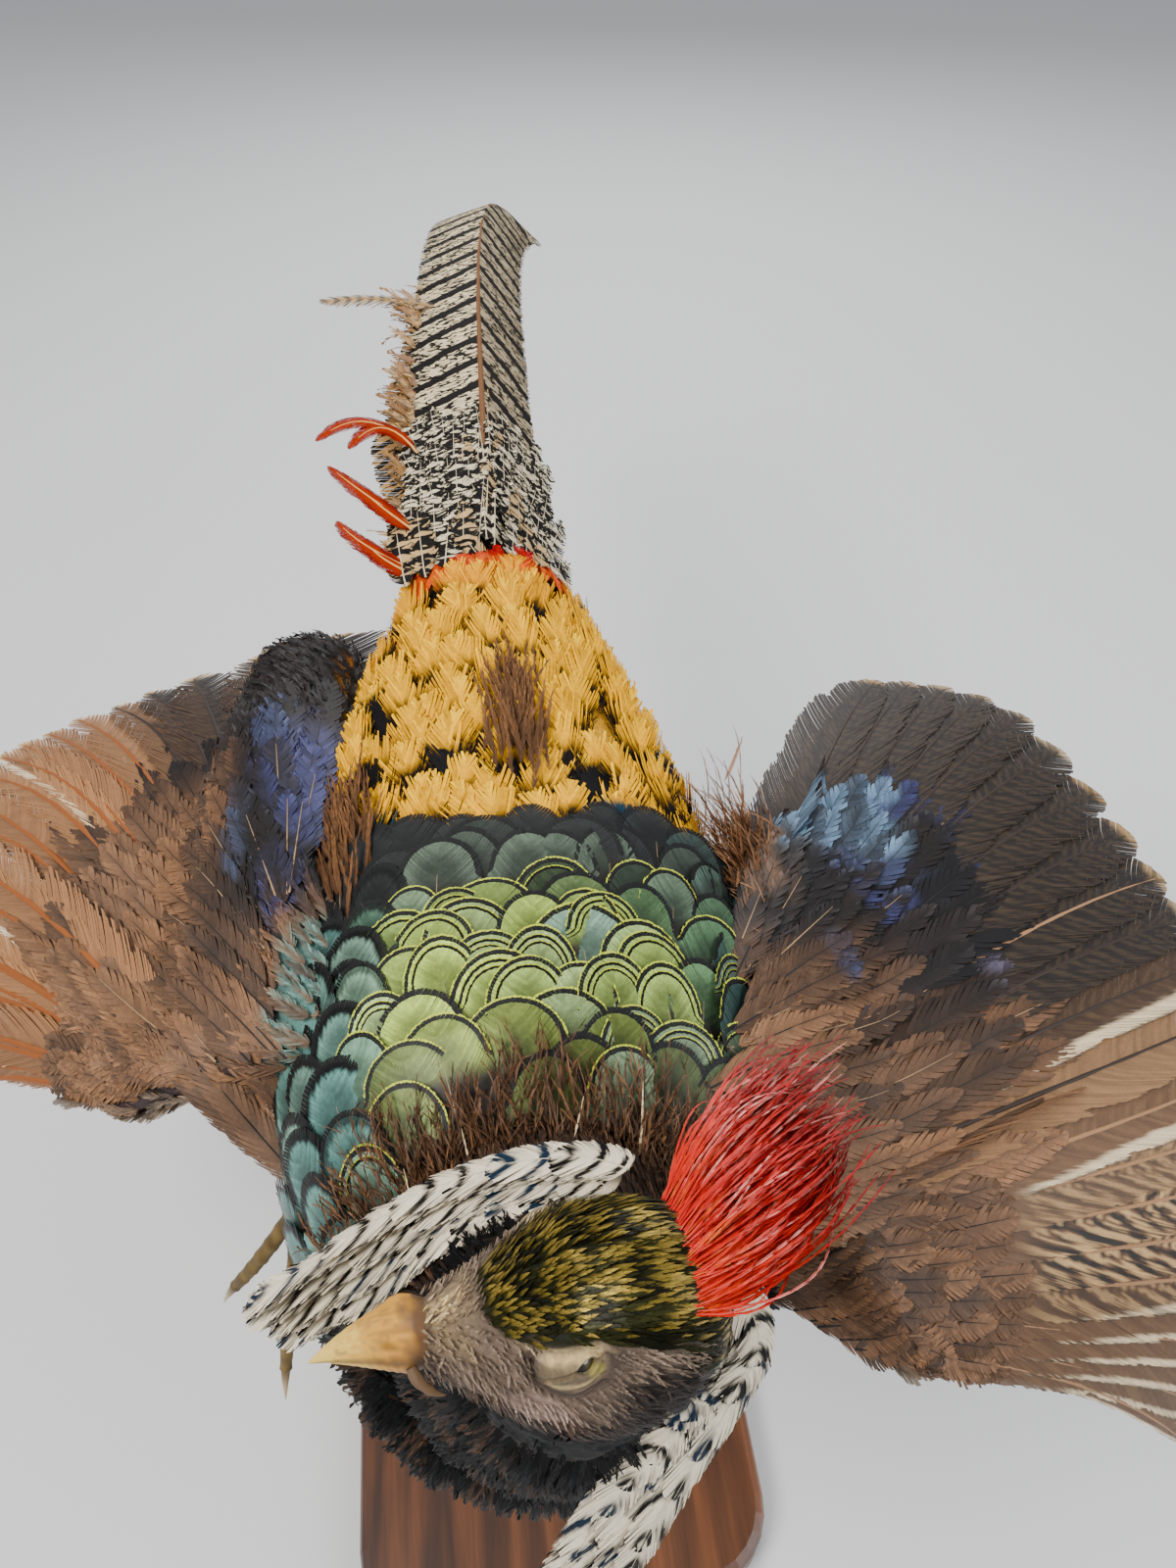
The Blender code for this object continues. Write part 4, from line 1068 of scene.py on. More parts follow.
def nape():
    """Hair-like brown down between the neck and the mantle, with a few bare cream shafts."""
    coat = Coat("nape_down")

    def behind_neck(places):
        x, y, z = laid_out(places)
        edge = -0.037 - 0.010 * (blotch(places, 0.02, 40) - 0.5) - 7.0 * x**2
        return (y < edge) & (y > -0.108) & (np.abs(x) < 0.050) & (z > -0.036)

    places, normals = scatter(["trunk"], 0.0016, behind_neck, 41)
    draw = np.random.default_rng(43)
    aims = backward(places, normals, turn=0.35, seed=42)
    lengths = draw.uniform(0.011, 0.019, len(places))
    track = draped_rails(TRUNK_TREE, places, aims, lengths, (-0.001, 0.0054))
    bend = draw.normal(size=(len(places), 1, 3)) * 0.0016
    track = rails(track[0] + bend * np.sin(np.linspace(0, math.pi, 5))[:, None], track[2])

    def tone(at):
        own = blotch(at["root"], 0.012, 44)
        colour = mix(mix(UMBER, BROWN, 0.4), hue(142, 104, 70), own * at["along"] * 0.7 + at["seed"] * 0.3)
        return mix(colour, TAN, (at["seed"] > 0.93) * 0.6), 0.0

    coat.plumes(track, 0.00042, "lance", tone, body_uv(places), bands=7, steps=1, sweep=9.0, gap=0.9,
                fray=0.5, puff=0.0003, varied=0.6, seed=45)
    ys, rolls = np.array([-0.060, -0.056, -0.054, -0.064]), np.array([-20.0, 4.0, 26.0, -40.0])
    places, normals = on_trunk(ys, rolls)
    track = draped_rails(TRUNK_TREE, places, backward(places, normals, turn=0.2, seed=46), 0.020,
                         (0.0012, 0.0060))
    coat.plumes(track, 0.0004, "lance", lambda at: (CREAM + 0 * at["root"], 0.05), body_uv(places), bands=10,
                steps=1, gap=0.9, shaft=0.0003, shaft_tone=CREAM, seed=47)
    return coat.build(coat_material("feather_down", mottle=0.3), slot="mantle_green")


def rump():
    """Ragged rows of golden, hair-fringed feathers, crimson ones at the tail, and tufts of down."""
    coat = Coat("rump_feathers")
    places, normals, uv = trunk_rows(0.044, 0.168, 0.0104, 0.0112, 112, 51, ragged=0.24)
    draw = np.random.default_rng(52)
    aims = backward(places, normals, turn=0.13, seed=53)
    lengths = 0.027 * draw.uniform(0.80, 1.15, len(places))
    track = draped_rails(TRUNK_TREE, places, aims, lengths, (-0.002, 0.0), points=6)
    y = places[:, 1] - BACK[1]
    lift = step(y, 0.052, 0.082)[:, None, None] * np.linspace(0, 0.0042, 6)[None, :, None]
    track = (track[0] + track[2] * lift, track[1], track[2])
    ground = mix(GOLD, ORANGE, step(y, 0.12, 0.172) * 0.45)
    dark = each(draw.random(len(places)) < 0.10 + 0.10 * step(y, 0.09, 0.05))

    def tone(at):
        base = each(ground)
        colour = mix(hue(34, 28, 26), base, step(at["along"] + 0.10 * (at["barb"] - 0.5), 0.42, 0.62))
        pale = mix(base, hue(244, 206, 30), 0.75)
        colour = mix(colour, pale, step(at["along"], 0.70, 1.0) * at["barb"] * 0.8)
        worn = mix(hue(36, 34, 36), hue(44, 86, 104), (at["seed"] > 0.6) * 0.7)
        return mix(colour, worn, dark * step(at["along"], 0.9, 0.8)), 0.08

    coat.plumes(track, 0.0086, "blunt", tone, uv, bands=30, steps=5, sweep=2.4, curve=0.2, gap=0.85,
                fray=0.35, cup=20.0, puff=0.0006, cell=(0.022, 0.030), varied=0.45, seed=55)

    rolls = np.linspace(-78, 78, 27)
    places, normals = on_trunk(0.1630 + 0.002 * draw.normal(size=len(rolls)), rolls)
    track = draped_rails(TRUNK_TREE, places, backward(places, normals, turn=0.15, seed=56), 0.029,
                         (0.001, 0.0062))
    coat.plumes(track, 0.0034, "leaf",
                lambda at: (mix(ORANGE, hue(176, 22, 12), step(at["along"], 0.30, 0.55)), 0.1),
                body_uv(places), bands=16, steps=4, sweep=2.2, gap=0.8, fray=0.3, cup=20, puff=0.0005,
                cell=(0.01, 0.03), varied=0.5, seed=57)

    for y, roll, wide, count in ((0.086, 6.0, 6.0, 130), (0.056, -50.0, 8.0, 110)):
        ys, rolls = y + 0.009 * draw.normal(size=count), roll + wide * draw.normal(size=count) * 0.6
        places, normals = on_trunk(ys, rolls)
        aims = backward(places, normals, turn=0.22, seed=58)
        track = draped_rails(TRUNK_TREE, places, aims, draw.uniform(0.016, 0.026, count), (0.001, 0.0062))
        coat.plumes(track, 0.0011, "lance", lambda at: (mix(BROWN, TAN, at["seed"] * 0.7 * at["along"]), 0.0),
                    body_uv(places), bands=9, steps=1, sweep=6.0, gap=0.9, fray=0.5, varied=0.5, seed=59)
    return coat.build(coat_material("feather_rump", mottle=0.18, shine=0.06), slot="mantle_green")


def underside():
    """The breast, belly, flanks and vent."""
    coat = Coat("belly_feathers")

    def low(places):
        x, y, z = laid_out(places)
        roll = np.abs(roll_at(x, z))
        return (roll > np.where(y > 0.06, 98, 74)) & (y > -0.062)

    places, normals = scatter(["trunk"], 0.0072, low, 61)
    aims = backward(places, normals, turn=0.14, seed=62)
    draw = np.random.default_rng(63)
    lengths = draw.uniform(0.017, 0.024, len(places))
    lengths = np.where(places[:, 1] - BACK[1] < -0.05, lengths * 0.75, lengths)
    track = draped_rails(TRUNK_TREE, places, aims, lengths, (-0.0022, 0.0022))
    ground, _ = markings(places)

    def tone(at):
        base = each(ground)
        colour = base * (0.55 + 0.5 * step(at["along"], 0.2, 0.7))[..., None]
        return colour, 0.25 * (base.mean(axis=-1) < 0.05)

    coat.plumes(track, 0.0052, "leaf", tone, body_uv(places), bands=9, steps=2, sweep=1.4, gap=0.6, fray=0.25,
                cup=20.0, puff=0.0003, shaft=0.00015, shaft_tone=mix(DUST, WHITE, 0.4), varied=0.3, seed=64)
    return coat.build(coat_material("feather_belly"), slot="breast_black")


def dark_feathers(name, nodes, spacing, keep, size, seed):
    """Fine glossy black feathers over the neck or the breast, their gloss partly a painted blue-green sheen
    on a few tips, with brown, worn patches.
    """
    coat = Coat(name)
    places, _ = scatter(nodes, spacing, keep, seed)
    x, y, z = laid_out(places)
    high = step(y, -0.090, -0.070)[:, None] * step(z, -0.05, -0.02)[:, None]
    aims = np.array((0.0, 0.45, -1.0)) * (1 - high) + np.array((0.0, 1.0, -0.1)) * high
    draw = np.random.default_rng(seed + 1)
    aims = strewn(draw, aims, places.shape, 0.14)
    lengths = size * draw.uniform(0.8, 1.2, len(places))
    track = draped_rails(BODY_TREE, places, aims, lengths, (-0.002, 0.0013))
    worn = blotch(places, 0.024, 73)
    rusty = each(np.maximum(step(worn, 0.76, 0.86) * step(-x, -0.02, 0.03), (y > -0.082) & (z > -0.02)))

    def tone(at):
        tips = step(at["along"], 0.3, 0.8)
        # sheen is painted: a few tips are tinted blue green for the black feathers' gloss
        sheen = mix(hue(2, 2, 3), hue(16, 24, 28), tips * (at["seed"] > 0.86))
        brown = mix(UMBER, BROWN, tips * at["seed"])
        return mix(sheen, brown, rusty + 0 * tips), 0 * tips

    coat.plumes(track, size * 0.085, "lance", tone, body_uv(places), bands=7, steps=1, sweep=6.0, gap=0.9,
                fray=0.35, cup=40.0, puff=0.0003, varied=0.6, seed=seed + 2)
    return coat.build(coat_material(f"{name}_black", rough=0.55, mottle=0.35, shine=0.10),
                      slot="breast_black")


def throat_and_breast():
    """The dark neck, and the breast below and in front of the mantle."""
    dark_feathers("neck_feathers", ["neck"], 0.0024, None, 0.0120, 71)

    def front(places):
        x, y, z = laid_out(places)
        roll = np.abs(roll_at(x, z))
        return (y < -0.056) & ((roll > 66) | (y < -0.088))

    dark_feathers("breast_feathers", ["trunk"], 0.0029, front, 0.0160, 75)


# ---------------------------------------------------------------- head
HEAD_TREE = tree_of("head")
PUPIL_EDGE, IRIS_EDGE = (17, 20), (46, 56)  # degrees off the gaze between which each one fades


def crown():
    """Short glossy olive feathers that cover the crown and meet the crest, some with painted gold highlights
    on their tips.
    """
    coat = Coat("crown_feathers")

    def top(places):
        local = in_head(places)
        x, z = local[:, 0], local[:, 2]
        ragged = 0.0012 * (blotch(places, 0.004, 80) - 0.5)
        return (z > crown_edge(local) + ragged) & (x < 0.0180) | ((x < -0.0150) & (z > -0.002))

    places, _ = scatter(["head"], 0.00092, top, 81)
    local = in_head(places)
    draw = np.random.default_rng(82)
    aims = strewn(draw, HEAD_TURN @ np.array((-1.0, 0.0, 0.0)), places.shape, 0.12)
    lengths = 0.0036 + 0.0022 * step(local[:, 0], 0.010, -0.010) + draw.uniform(0, 0.0008, len(places))
    track = draped_rails(HEAD_TREE, places, aims, lengths, (-0.0005, 0.0009), points=4)
    own = blotch(places, 0.006, 83)
    rear = step(local[:, 0], -0.006, -0.013)
    middle = step(np.abs(local[:, 1] - 0.002), 0.013, 0.006)
    # bright picks the feathers whose tips get a painted highlight
    bright = each(draw.random(len(places)) < (0.75 * own + 0.25) * middle + 0.12)
    straw = each(rear * draw.random(len(places)))
    shift = each(own)

    def tone(at):
        dark = mix(hue(34, 34, 22), hue(66, 66, 34), shift + 0 * at["along"])
        # light is the colour of the painted highlight on those tips, paler straw on some towards the rear
        light = mix(mix(hue(126, 112, 48), hue(174, 150, 74), shift + 0 * at["along"]), hue(210, 180, 122),
                    straw * 0.7)
        tips = step(at["along"], 0.30, 0.8) * bright * (0.45 + 0.55 * at["seed"])
        return mix(dark, light, tips), 0.7 + 0 * tips

    uv = np.stack([0.5 + local[:, 1] * 12, 0.5 + local[:, 0] * 12], axis=1)
    coat.plumes(track, 0.00046, "leaf", tone, uv, bands=4, steps=2, sweep=2.0, gap=0.5, cup=300, varied=0.5,
                seed=84)
    return coat.build(coat_material("feather_crown", gloss=0.6, mottle=0.1, size=2500.0, shine=0.15),
                      slot="face_grey")


def face_down():
    """Bristly specks of down on the bare face, denser to the throat."""
    coat = Coat("face_down")

    def side(places):
        local = in_head(places)
        below = local[:, 2] < crown_edge(local) + 0.0004
        front = (local[:, 0] < 0.0268) & (below | (local[:, 0] > 0.0172))
        u, v = eye_axes(local)
        return front & (np.hypot(u / 0.0064, v / 0.0048) > 1) & (blotch(places, 0.004, 91) > 0.25)

    places, _ = scatter(["head"], 0.00105, side, 92)
    local = in_head(places)
    draw = np.random.default_rng(93)
    aims = strewn(draw, HEAD_TURN @ np.array((-1.0, 0.0, -0.45)), places.shape, 0.3)
    low = step(local[:, 2], -0.004, -0.013)
    rear = step(local[:, 0], 0.0, -0.012)
    lengths = 0.0012 + 0.0042 * np.maximum(low, rear * 0.8) + draw.uniform(0, 0.0008, len(places))
    track = draped_rails(HEAD_TREE, places, aims, lengths, (-0.0005, 0.0007), points=4)
    ground = face_markings(local, places)

    def tone(at):
        base = each(ground)
        return base * (0.8 + 0.45 * at["along"])[..., None], 0.0

    uv = np.stack([0.5 + local[:, 1] * 12, 0.5 + local[:, 2] * 12], axis=1)
    coat.plumes(track, 0.00034, "lance", tone, uv, bands=4, steps=1, sweep=2.0, gap=0.8, fray=0.3,
                varied=0.6, seed=94)
    return coat.build(coat_material("feather_face", mottle=0.25, size=2500.0), slot="face_grey")


def crest():
    """Long hair-like red strands that lie back from the hind crown."""
    coat = Coat("crest_plume")
    draw = np.random.default_rng(101)
    tip = np.array(MANTLE + Vector((0.054, -0.067, 0.0335)))
    aim_side = unit(np.array((0.30, -0.85, -0.30)))

    def strands(count, width, length, seed, bright):
        y = draw.uniform(-0.0100, 0.0130, count)
        x = -0.0160 + draw.uniform(-0.0024, 0.0014, count)
        guess = from_head(np.stack([x, y, 0.0170 * np.sqrt(1 - (y / 0.0160) ** 2)], axis=1))
        roots, normals = nearest(HEAD_TREE, guess)
        roots = roots - normals * 0.0006
        fan = ((y - 0.0015) / 0.0115)[:, None]
        ends = (tip + aim_side * (fan * 0.0105 + 0.0018)
                + draw.normal(size=(count, 3)) * np.array((0.004, 0.003, 0.002)))
        reach = (length + draw.uniform(-0.26, 0.08, count) - 0.14 * np.clip(fan[:, 0], 0, 1))[:, None]
        ends = roots + (ends - roots) * reach
        share = np.linspace(0, 1, 12)[None, :, None]
        rise = normals * draw.uniform(0.0035, 0.0085, count)[:, None]
        spots = (roots[:, None] + (ends - roots)[:, None] * share
                 + rise[:, None] * np.sin(share**0.8 * math.pi))
        sway = draw.normal(size=(count, 1, 3)) * 0.0011
        spots = spots + sway * np.sin(share * math.pi) + draw.normal(size=(count, 1, 3)) * 0.0009 * share**2
        track = rails(spots, np.array((-0.2, 0.3, 1.0)))
        side = each(np.abs(fan[:, 0]))
        # bright is the share of strands given a painted pinkish white glint along most of their length; a few
        # others get a painted orange glint near the root
        painted_glint = each(draw.random(count) < bright)
        painted_orange_glint = each(draw.random(count) < 0.16)

        def tone(at):
            colour = mix(hue(200, 26, 14), hue(116, 12, 18),
                         step(at["along"], 0.10, 0.80) * (0.35 + 0.65 * at["seed"]))
            colour = mix(colour, hue(228, 74, 20), side * step(at["along"], 0.7, 0.0) * 0.8)
            colour = mix(colour, hue(236, 132, 40), painted_orange_glint * step(at["along"], 0.34, 0.10))
            colour = mix(colour, hue(232, 170, 158), painted_glint * 0.75 * step(at["along"], 0.05, 0.30))
            return colour, 0.10

        uv = np.stack([0.5 + y * 12, 0.5 + x * 12], axis=1)
        coat.plumes(track, width, "strap", tone, uv, bands=10, steps=1, sweep=8.0, gap=0.9, fray=0.3, cup=300,
                    shaft=0.00013, shaft_tone=hue(206, 40, 24), varied=0.6, seed=seed)

    strands(480, 0.00030, 1.0, 102, 0.10)
    strands(400, 0.00022, 0.76, 103, 0.22)
    strands(36, 0.00030, 1.26, 104, 0.15)
    material = coat_material("feather_crest", rough=0.40, mottle=0.2)
    return coat.build(material, "crest", slot="crest_red")


def smooth_tube(points, radii, sides, up, flatten=1.0, ridges=None):
    """Vertices (ring, side) and quads of a tube along points, closed at its ends by small rings."""
    points = np.asarray(points)
    ahead = unit(np.gradient(points, axis=0))
    side = unit(np.cross(ahead, up))
    over = np.cross(side, ahead)
    angle = np.linspace(0, 2 * math.pi, sides, endpoint=False)
    ring = side[:, None] * np.cos(angle)[:, None] + over[:, None] * (np.sin(angle) * flatten)[:, None]
    size = np.asarray(radii)[:, None]
    if ridges is not None:
        size = size * ridges(len(points), angle)
    verts = points[:, None] + ring * size[..., None]
    ids = np.arange(len(points) * sides).reshape(len(points), sides)
    quads = np.stack([ids[:-1], np.roll(ids[:-1], -1, 1), np.roll(ids[1:], -1, 1), ids[1:]], axis=-1)
    return verts.reshape(-1, 3), quads.reshape(-1, 4)


def toned_mesh(name, verts, quads, tones):
    """A smooth mesh with its own colours."""
    mesh = quad_mesh(name, verts, quads)
    stamp(mesh, "tone", "FLOAT_COLOR", tones)
    return mesh


def joined(parts):
    """Several (vertices, quads, colours) put together."""
    verts, quads, tones, count = [], [], [], 0
    for part_verts, part_quads, part_tones in parts:
        verts.append(part_verts)
        quads.append(part_quads + count)
        tones.append(np.broadcast_to(part_tones, part_verts.shape))
        count += len(part_verts)
    return np.concatenate(verts), np.concatenate(quads), np.concatenate(tones)


def bill():
    """Both halves of the bill: mottled horn, pale at the tip, with nostril flaps and a fleshy gape."""
    parts = []
    for upper in (True, False):
        length = BILL_LENGTH if upper else BILL_LENGTH - 0.0035
        share, angle = np.meshgrid(np.linspace(-0.14, 1.0, 60),
                                   np.linspace(0, 2 * math.pi, 56, endpoint=False), indexing="ij")
        level = np.clip(share, 0, 1)
        inside = 1 + 0.9 * np.clip(share, -1, 0)
        width = BILL_WIDTH / 2 * (1 - 0.97 * level**1.3) * inside * (1.0 if upper else 0.94)
        depth = (0.0060 if upper else -0.0050) * (1 - 0.93 * level**1.6) * inside
        rim = np.abs(np.cos(angle))
        arch = np.sign(np.sin(angle)) * np.abs(np.sin(angle)) ** 0.82
        body = np.where(arch > 0, arch, 0.05 * arch)
        swell = 0.00006 * np.sin(share * 60 + 2.0 * np.sin(angle * 3)) * step(share, 0.05, 0.2)
        hole = 0.0
        if upper:
            flap = np.exp(-((share - 0.16) / 0.13) ** 2 - ((rim - 0.72) / 0.16) ** 2)
            hole = np.exp(-((share - 0.24) / 0.08) ** 2 - ((rim - 0.88) / 0.035) ** 2) * (arch > 0)
            groove = np.exp(-((rim - 0.52) / 0.05) ** 2) * step(share, 0.55, 0.2)
            swell = swell + (flap * 0.0006 - hole * 0.0011 - groove * 0.00016) * (arch > 0)
        y = width * np.cos(angle) * (1 + swell / 0.005)
        z = (0.0002 if upper else -0.0002) - 0.0034 * level**2.2 + depth * body * (1 + swell / 0.004)
        local = np.stack([HEAD_FRONT + length * share, y, z], axis=-1)
        verts = from_head(local.reshape(-1, 3))
        ids = np.arange(share.size).reshape(share.shape)
        quads = np.stack([ids[:-1], ids[1:], np.roll(ids[1:], -1, 1), np.roll(ids[:-1], -1, 1)], axis=-1)
        streaks = blotch(local * np.array((0.16, 1.0, 1.0)), 0.0013, 112)
        stains = blotch(local, 0.0045, 113)
        tone = mix(hue(214, 162, 64), hue(236, 204, 108), step(share + 0.3 * (streaks - 0.5), 0.25, 0.85))
        tone = mix(tone, hue(150, 104, 48),
                   step(streaks * 0.7 + stains * 0.5 - share * 0.6, 0.36, 0.70) * 0.55)
        tone = mix(tone, hue(112, 84, 60), step(share + 0.16 * (stains - 0.5), 0.12, -0.02) * 0.9)
        # the nostril and the seam where the two halves meet are darkened: painted shade in these recesses
        tone = mix(tone, hue(74, 50, 34), np.maximum(hole * 0.8, step(rim, 0.985, 0.998) * 0.6))
        parts.append((verts, quads.reshape(-1, 4), tone.reshape(-1, 3)))
    for side in (1, -1):
        root = Vector((HEAD_FRONT + 0.0006, 0.0055 * side, -0.0006))
        tip = Vector((HEAD_FRONT - 0.0048, 0.0077 * side, -0.0052))
        line = [HEAD @ p for p in arc(root, tip, Vector((0.0006, 0.0006 * side, -0.0004)), 9)]
        radii = [0.0008, 0.0010, 0.0011, 0.0010, 0.0008, 0.0009, 0.0006, 0.0004, 0.0001]
        verts, quads = smooth_tube(line, radii, 12, (0, 0, 1), 0.6)
        parts.append((verts, quads, hue(116, 90, 62)))
    mesh = toned_mesh("bill", *joined(parts))
    material, tree, bsdf = shader("bill_horn_fine", Roughness=0.40, Specular_IOR_Level=0.45)
    streak = noise(tree, None, 520.0, 4.0)
    shaded(tree, bsdf, spread(tree, streak, 0.3, 0.7, 0.80, 1.12))
    bump(tree, bsdf, streak, 0.4, 0.0003)
    return piece("bill", mesh, material, "bill_upper", "bill_lower", slot="bill_horn")


def eyes():
    """Glassy eyes with a dull olive iris and a dark pupil, set behind the lids."""
    for name, (_, middle, gaze) in zip(("left", "right"), EYES):
        work = bmesh.new()
        bmesh.ops.create_uvsphere(work, u_segments=48, v_segments=32, radius=EYE_RADIUS - 0.0002)
        mesh = bpy.data.meshes.new(f"eyeball_{name}")
        work.to_mesh(mesh)
        work.free()
        places = np.array([v.co for v in mesh.vertices])
        look = np.degrees(np.arccos(np.clip(unit(places) @ gaze, -1, 1)))
        ring = blotch(places, 0.0016, 111)
        tone = mix(hue(30, 24, 20), mix(hue(92, 84, 46), hue(60, 52, 32), ring), step(look, *PUPIL_EDGE))
        tone = mix(tone, hue(26, 22, 18), step(look, *IRIS_EDGE))
        bulge = 1 + 0.05 * step(look, 50, 20)
        places = from_head(places * bulge[:, None] + middle)
        mesh.vertices.foreach_set("co", places.astype(np.float32).reshape(-1))
        mesh.shade_smooth()
        stamp(mesh, "tone", "FLOAT_COLOR", tone)
        material, tree, bsdf = shader(f"eye_glass_{name}", Roughness=0.12, Specular_IOR_Level=0.6,
                                      Coat_Weight=0.6)
        tree.links.new(attribute(tree, "tone"), bsdf.inputs["Base Color"])
        piece(f"eyeball_{name}", mesh, material, f"eye_{name}", slot="eye_olive")


# ---------------------------------------------------------------- capes
def cape_grid(label, clear=0.0016):
    """The cape's surface between its two edges as (along, across) places, eased and kept off the neck."""
    edges = CAPES[label]
    rows = 33
    tree = tree_of("head", "neck")
    grid = []
    for i in range(rows):
        at = i / (rows - 1) * (len(edges[0]) - 1)
        upper, lower = (Vector(between([(k, *place) for k, place in enumerate(edge)], at)) for edge in edges)
        grid.append([MANTLE + upper.lerp(lower, j / 8) for j in range(9)])
    grid = np.array(grid)
    flat = grid.reshape(-1, 3)
    spots, normals = nearest(tree, flat)
    over = np.sum((flat - spots) * normals, axis=1)
    flat += normals * np.clip(clear - over, 0, None)[:, None]
    grid = flat.reshape(rows, 9, 3)
    for _ in range(12):
        eased = grid.copy()
        eased[1:-1] = (grid[:-2] + grid[2:] + grid[1:-1] * 2) / 4
        eased[:, 1:-1] = (eased[:, :-2] + eased[:, 2:] + eased[:, 1:-1] * 2) / 4
        eased[0], eased[-1] = grid[0], grid[-1]
        grid = eased
    return grid


def grid_at(grid, u, v):
    """Places on a grid at shares u along and v across; past its end it runs on straight."""
    rows, columns = grid.shape[:2]
    a, b = np.clip(u, 0, 1) * (rows - 1), np.clip(v, 0, 1) * (columns - 1)
    i, j = np.clip(a.astype(int), 0, rows - 2), np.clip(b.astype(int), 0, columns - 2)
    p, q = (a - i)[..., None], (b - j)[..., None]
    low = grid[i, j] * (1 - q) + grid[i, j + 1] * q
    high = grid[i + 1, j] * (1 - q) + grid[i + 1, j + 1] * q
    return (low * (1 - p) + high * p
            + (grid[-1, -1] - grid[-2, -1]) * (rows - 1) * np.clip(u - 1, 0, 1)[..., None])


def cape(label):
    """White cape feathers in overlapping rows, each with a blue-black edge and an inner bar."""
    coat = Coat(f"cape_{label}_feathers")
    grid = cape_grid(label)
    middle = np.array(MANTLE + Vector((0, -0.08, -0.02)))
    draw = np.random.default_rng(121 if label == "left" else 122)
    length = np.linalg.norm(np.diff(grid[:, 4], axis=0), axis=1).sum()
    rows, columns = 10, 4
    for layer in (0, 1):
        u, v = np.meshgrid(np.linspace(-0.02, 0.86, rows), np.linspace(0.06, 0.94, columns), indexing="ij")
        v = v + 0.07 * (np.arange(rows) % 2)[:, None] - 0.035
        u, v = u.reshape(-1), v.reshape(-1)
        u = u + draw.normal(size=len(u)) * 0.012
        span = 0.026 / length * draw.uniform(0.85, 1.15, len(u))
        share = np.linspace(0, 1, 6)
        along = u[:, None] + span[:, None] * share
        apart = v[:, None] + (v[:, None] - 0.5) * 0.10 * share * u[:, None]
        spots = grid_at(grid, along, apart + 0 * along)
        ups = unit(spots - middle)
        if layer:
            ups = -ups
        lift = (0.0 + 0.0011 * share)[None, :, None]
        spots = spots + ups * lift
        track = rails(spots, ups)
        uv = np.stack([0.04 + 0.92 * v, 0.03 + 0.90 * u * 0.5 + 0.48 * layer], axis=1)
        phase = each(draw.normal(size=len(u))) * 0.04

        def tone(at):
            t = at["along"] + phase - 0.16 * at["reach"] ** 2 + 0.035 * (at["barb"] - 0.5)
            bar = np.maximum(band(t, 0.52, 0.635), band(t, 0.82, 0.945))
            bar = np.maximum(bar, band(t, 0.25, 0.345))
            ink = mix(BLACK, hue(34, 58, 80), (at["seed"] > 0.55) * 0.8)
            colour = mix(WHITE, mix(DUST, WHITE, 0.35),
                         (at["barb"] < 0.22) * step(at["reach"], 0.3, 0.8) * 0.8)
            colour = mix(colour, mix(WHITE, BUFF, 0.4), step(at["along"], 0.3, 0.0) * 0.6)
            return mix(colour, ink, bar), 0.25 * bar

        coat.plumes(track, 0.0048, "blunt", tone, uv, bands=34, steps=8, sweep=1.6, gap=0.55, fray=0.12,
                    cup=50, puff=0.00016, cell=(0.10, 0.045), shaft=0.00020,
                    shaft_tone=mix(WHITE, DUST, 0.3), varied=0.20, seed=123 + layer)
    return coat.build(coat_material(f"feather_cape_{label}", mottle=0.10, shine=0.12), f"cape_{label}",
                      slot="cape_white")


# ---------------------------------------------------------------- wings
def fan_root(wing, number):
    """Where feather number grows: along the hand, along the forearm, then inwards from the elbow."""
    line = (
        (0, *wing["finger"]),
        (PRIMARIES - 0.5, *wing["wrist"]),
        (FEATHERS - 4.5, *wing["elbow"]),
        (FEATHERS, *wing["inner"]),
    )
    k = max(i for i in range(len(line) - 1) if line[i][0] <= max(number, 0))
    share = (number - line[k][0]) / (line[k + 1][0] - line[k][0])
    return MANTLE + Vector(line[k][1:]).lerp(Vector(line[k + 1][1:]), share)


def fan_point(wing, number, share):
    """A point on the wing's middle surface, share of the way along the feather of that number."""
    root = fan_root(wing, number)
    tip = MANTLE + Vector(between(wing["tips"], number))
    bow = FAN_CURVE * (tip - root).length * 4 * share * (1 - share)
    return root.lerp(tip, share) + Vector((0, 0, bow))


def fan_places(wing, numbers, shares):
    """Places for arrays of feather numbers and shares."""
    flat = [fan_point(wing, n, s) for n, s in zip(numbers.reshape(-1), shares.reshape(-1))]
    return np.array(flat).reshape(numbers.shape + (3,))


def fan_rails(wing, numbers, start, end, lift, points=9, sideways=0.0):
    """Rails along a wing's fan from share start to end, lift over its middle surface (root, tip)."""
    share = np.linspace(0, 1, points)[None, :]
    along = start[:, None] + (end - start)[:, None] * share
    ids = numbers[:, None] + 0 * along
    spots = fan_places(wing, ids, along)
    across = unit(fan_places(wing, np.minimum(ids + 0.5, INNERMOST), along)
                  - fan_places(wing, np.maximum(ids - 0.5, 0), along))
    ahead = unit(np.gradient(spots, axis=1))
    ups = unit(np.cross(across, ahead))
    ups = ups * np.sign(ups[..., 2:3])
    reach = np.linalg.norm(spots[:, -1] - spots[:, 0], axis=1)[:, None, None]
    bend = np.asarray(sideways).reshape(-1, 1, 1) * 4 * share[..., None] * (1 - share[..., None])
    spots = spots + across * bend * reach
    height = (np.asarray(lift[0]).reshape(-1, 1)
              + (np.asarray(lift[1]) - np.asarray(lift[0])).reshape(-1, 1) * share)
    return rails(spots + ups * height[..., None], ups)
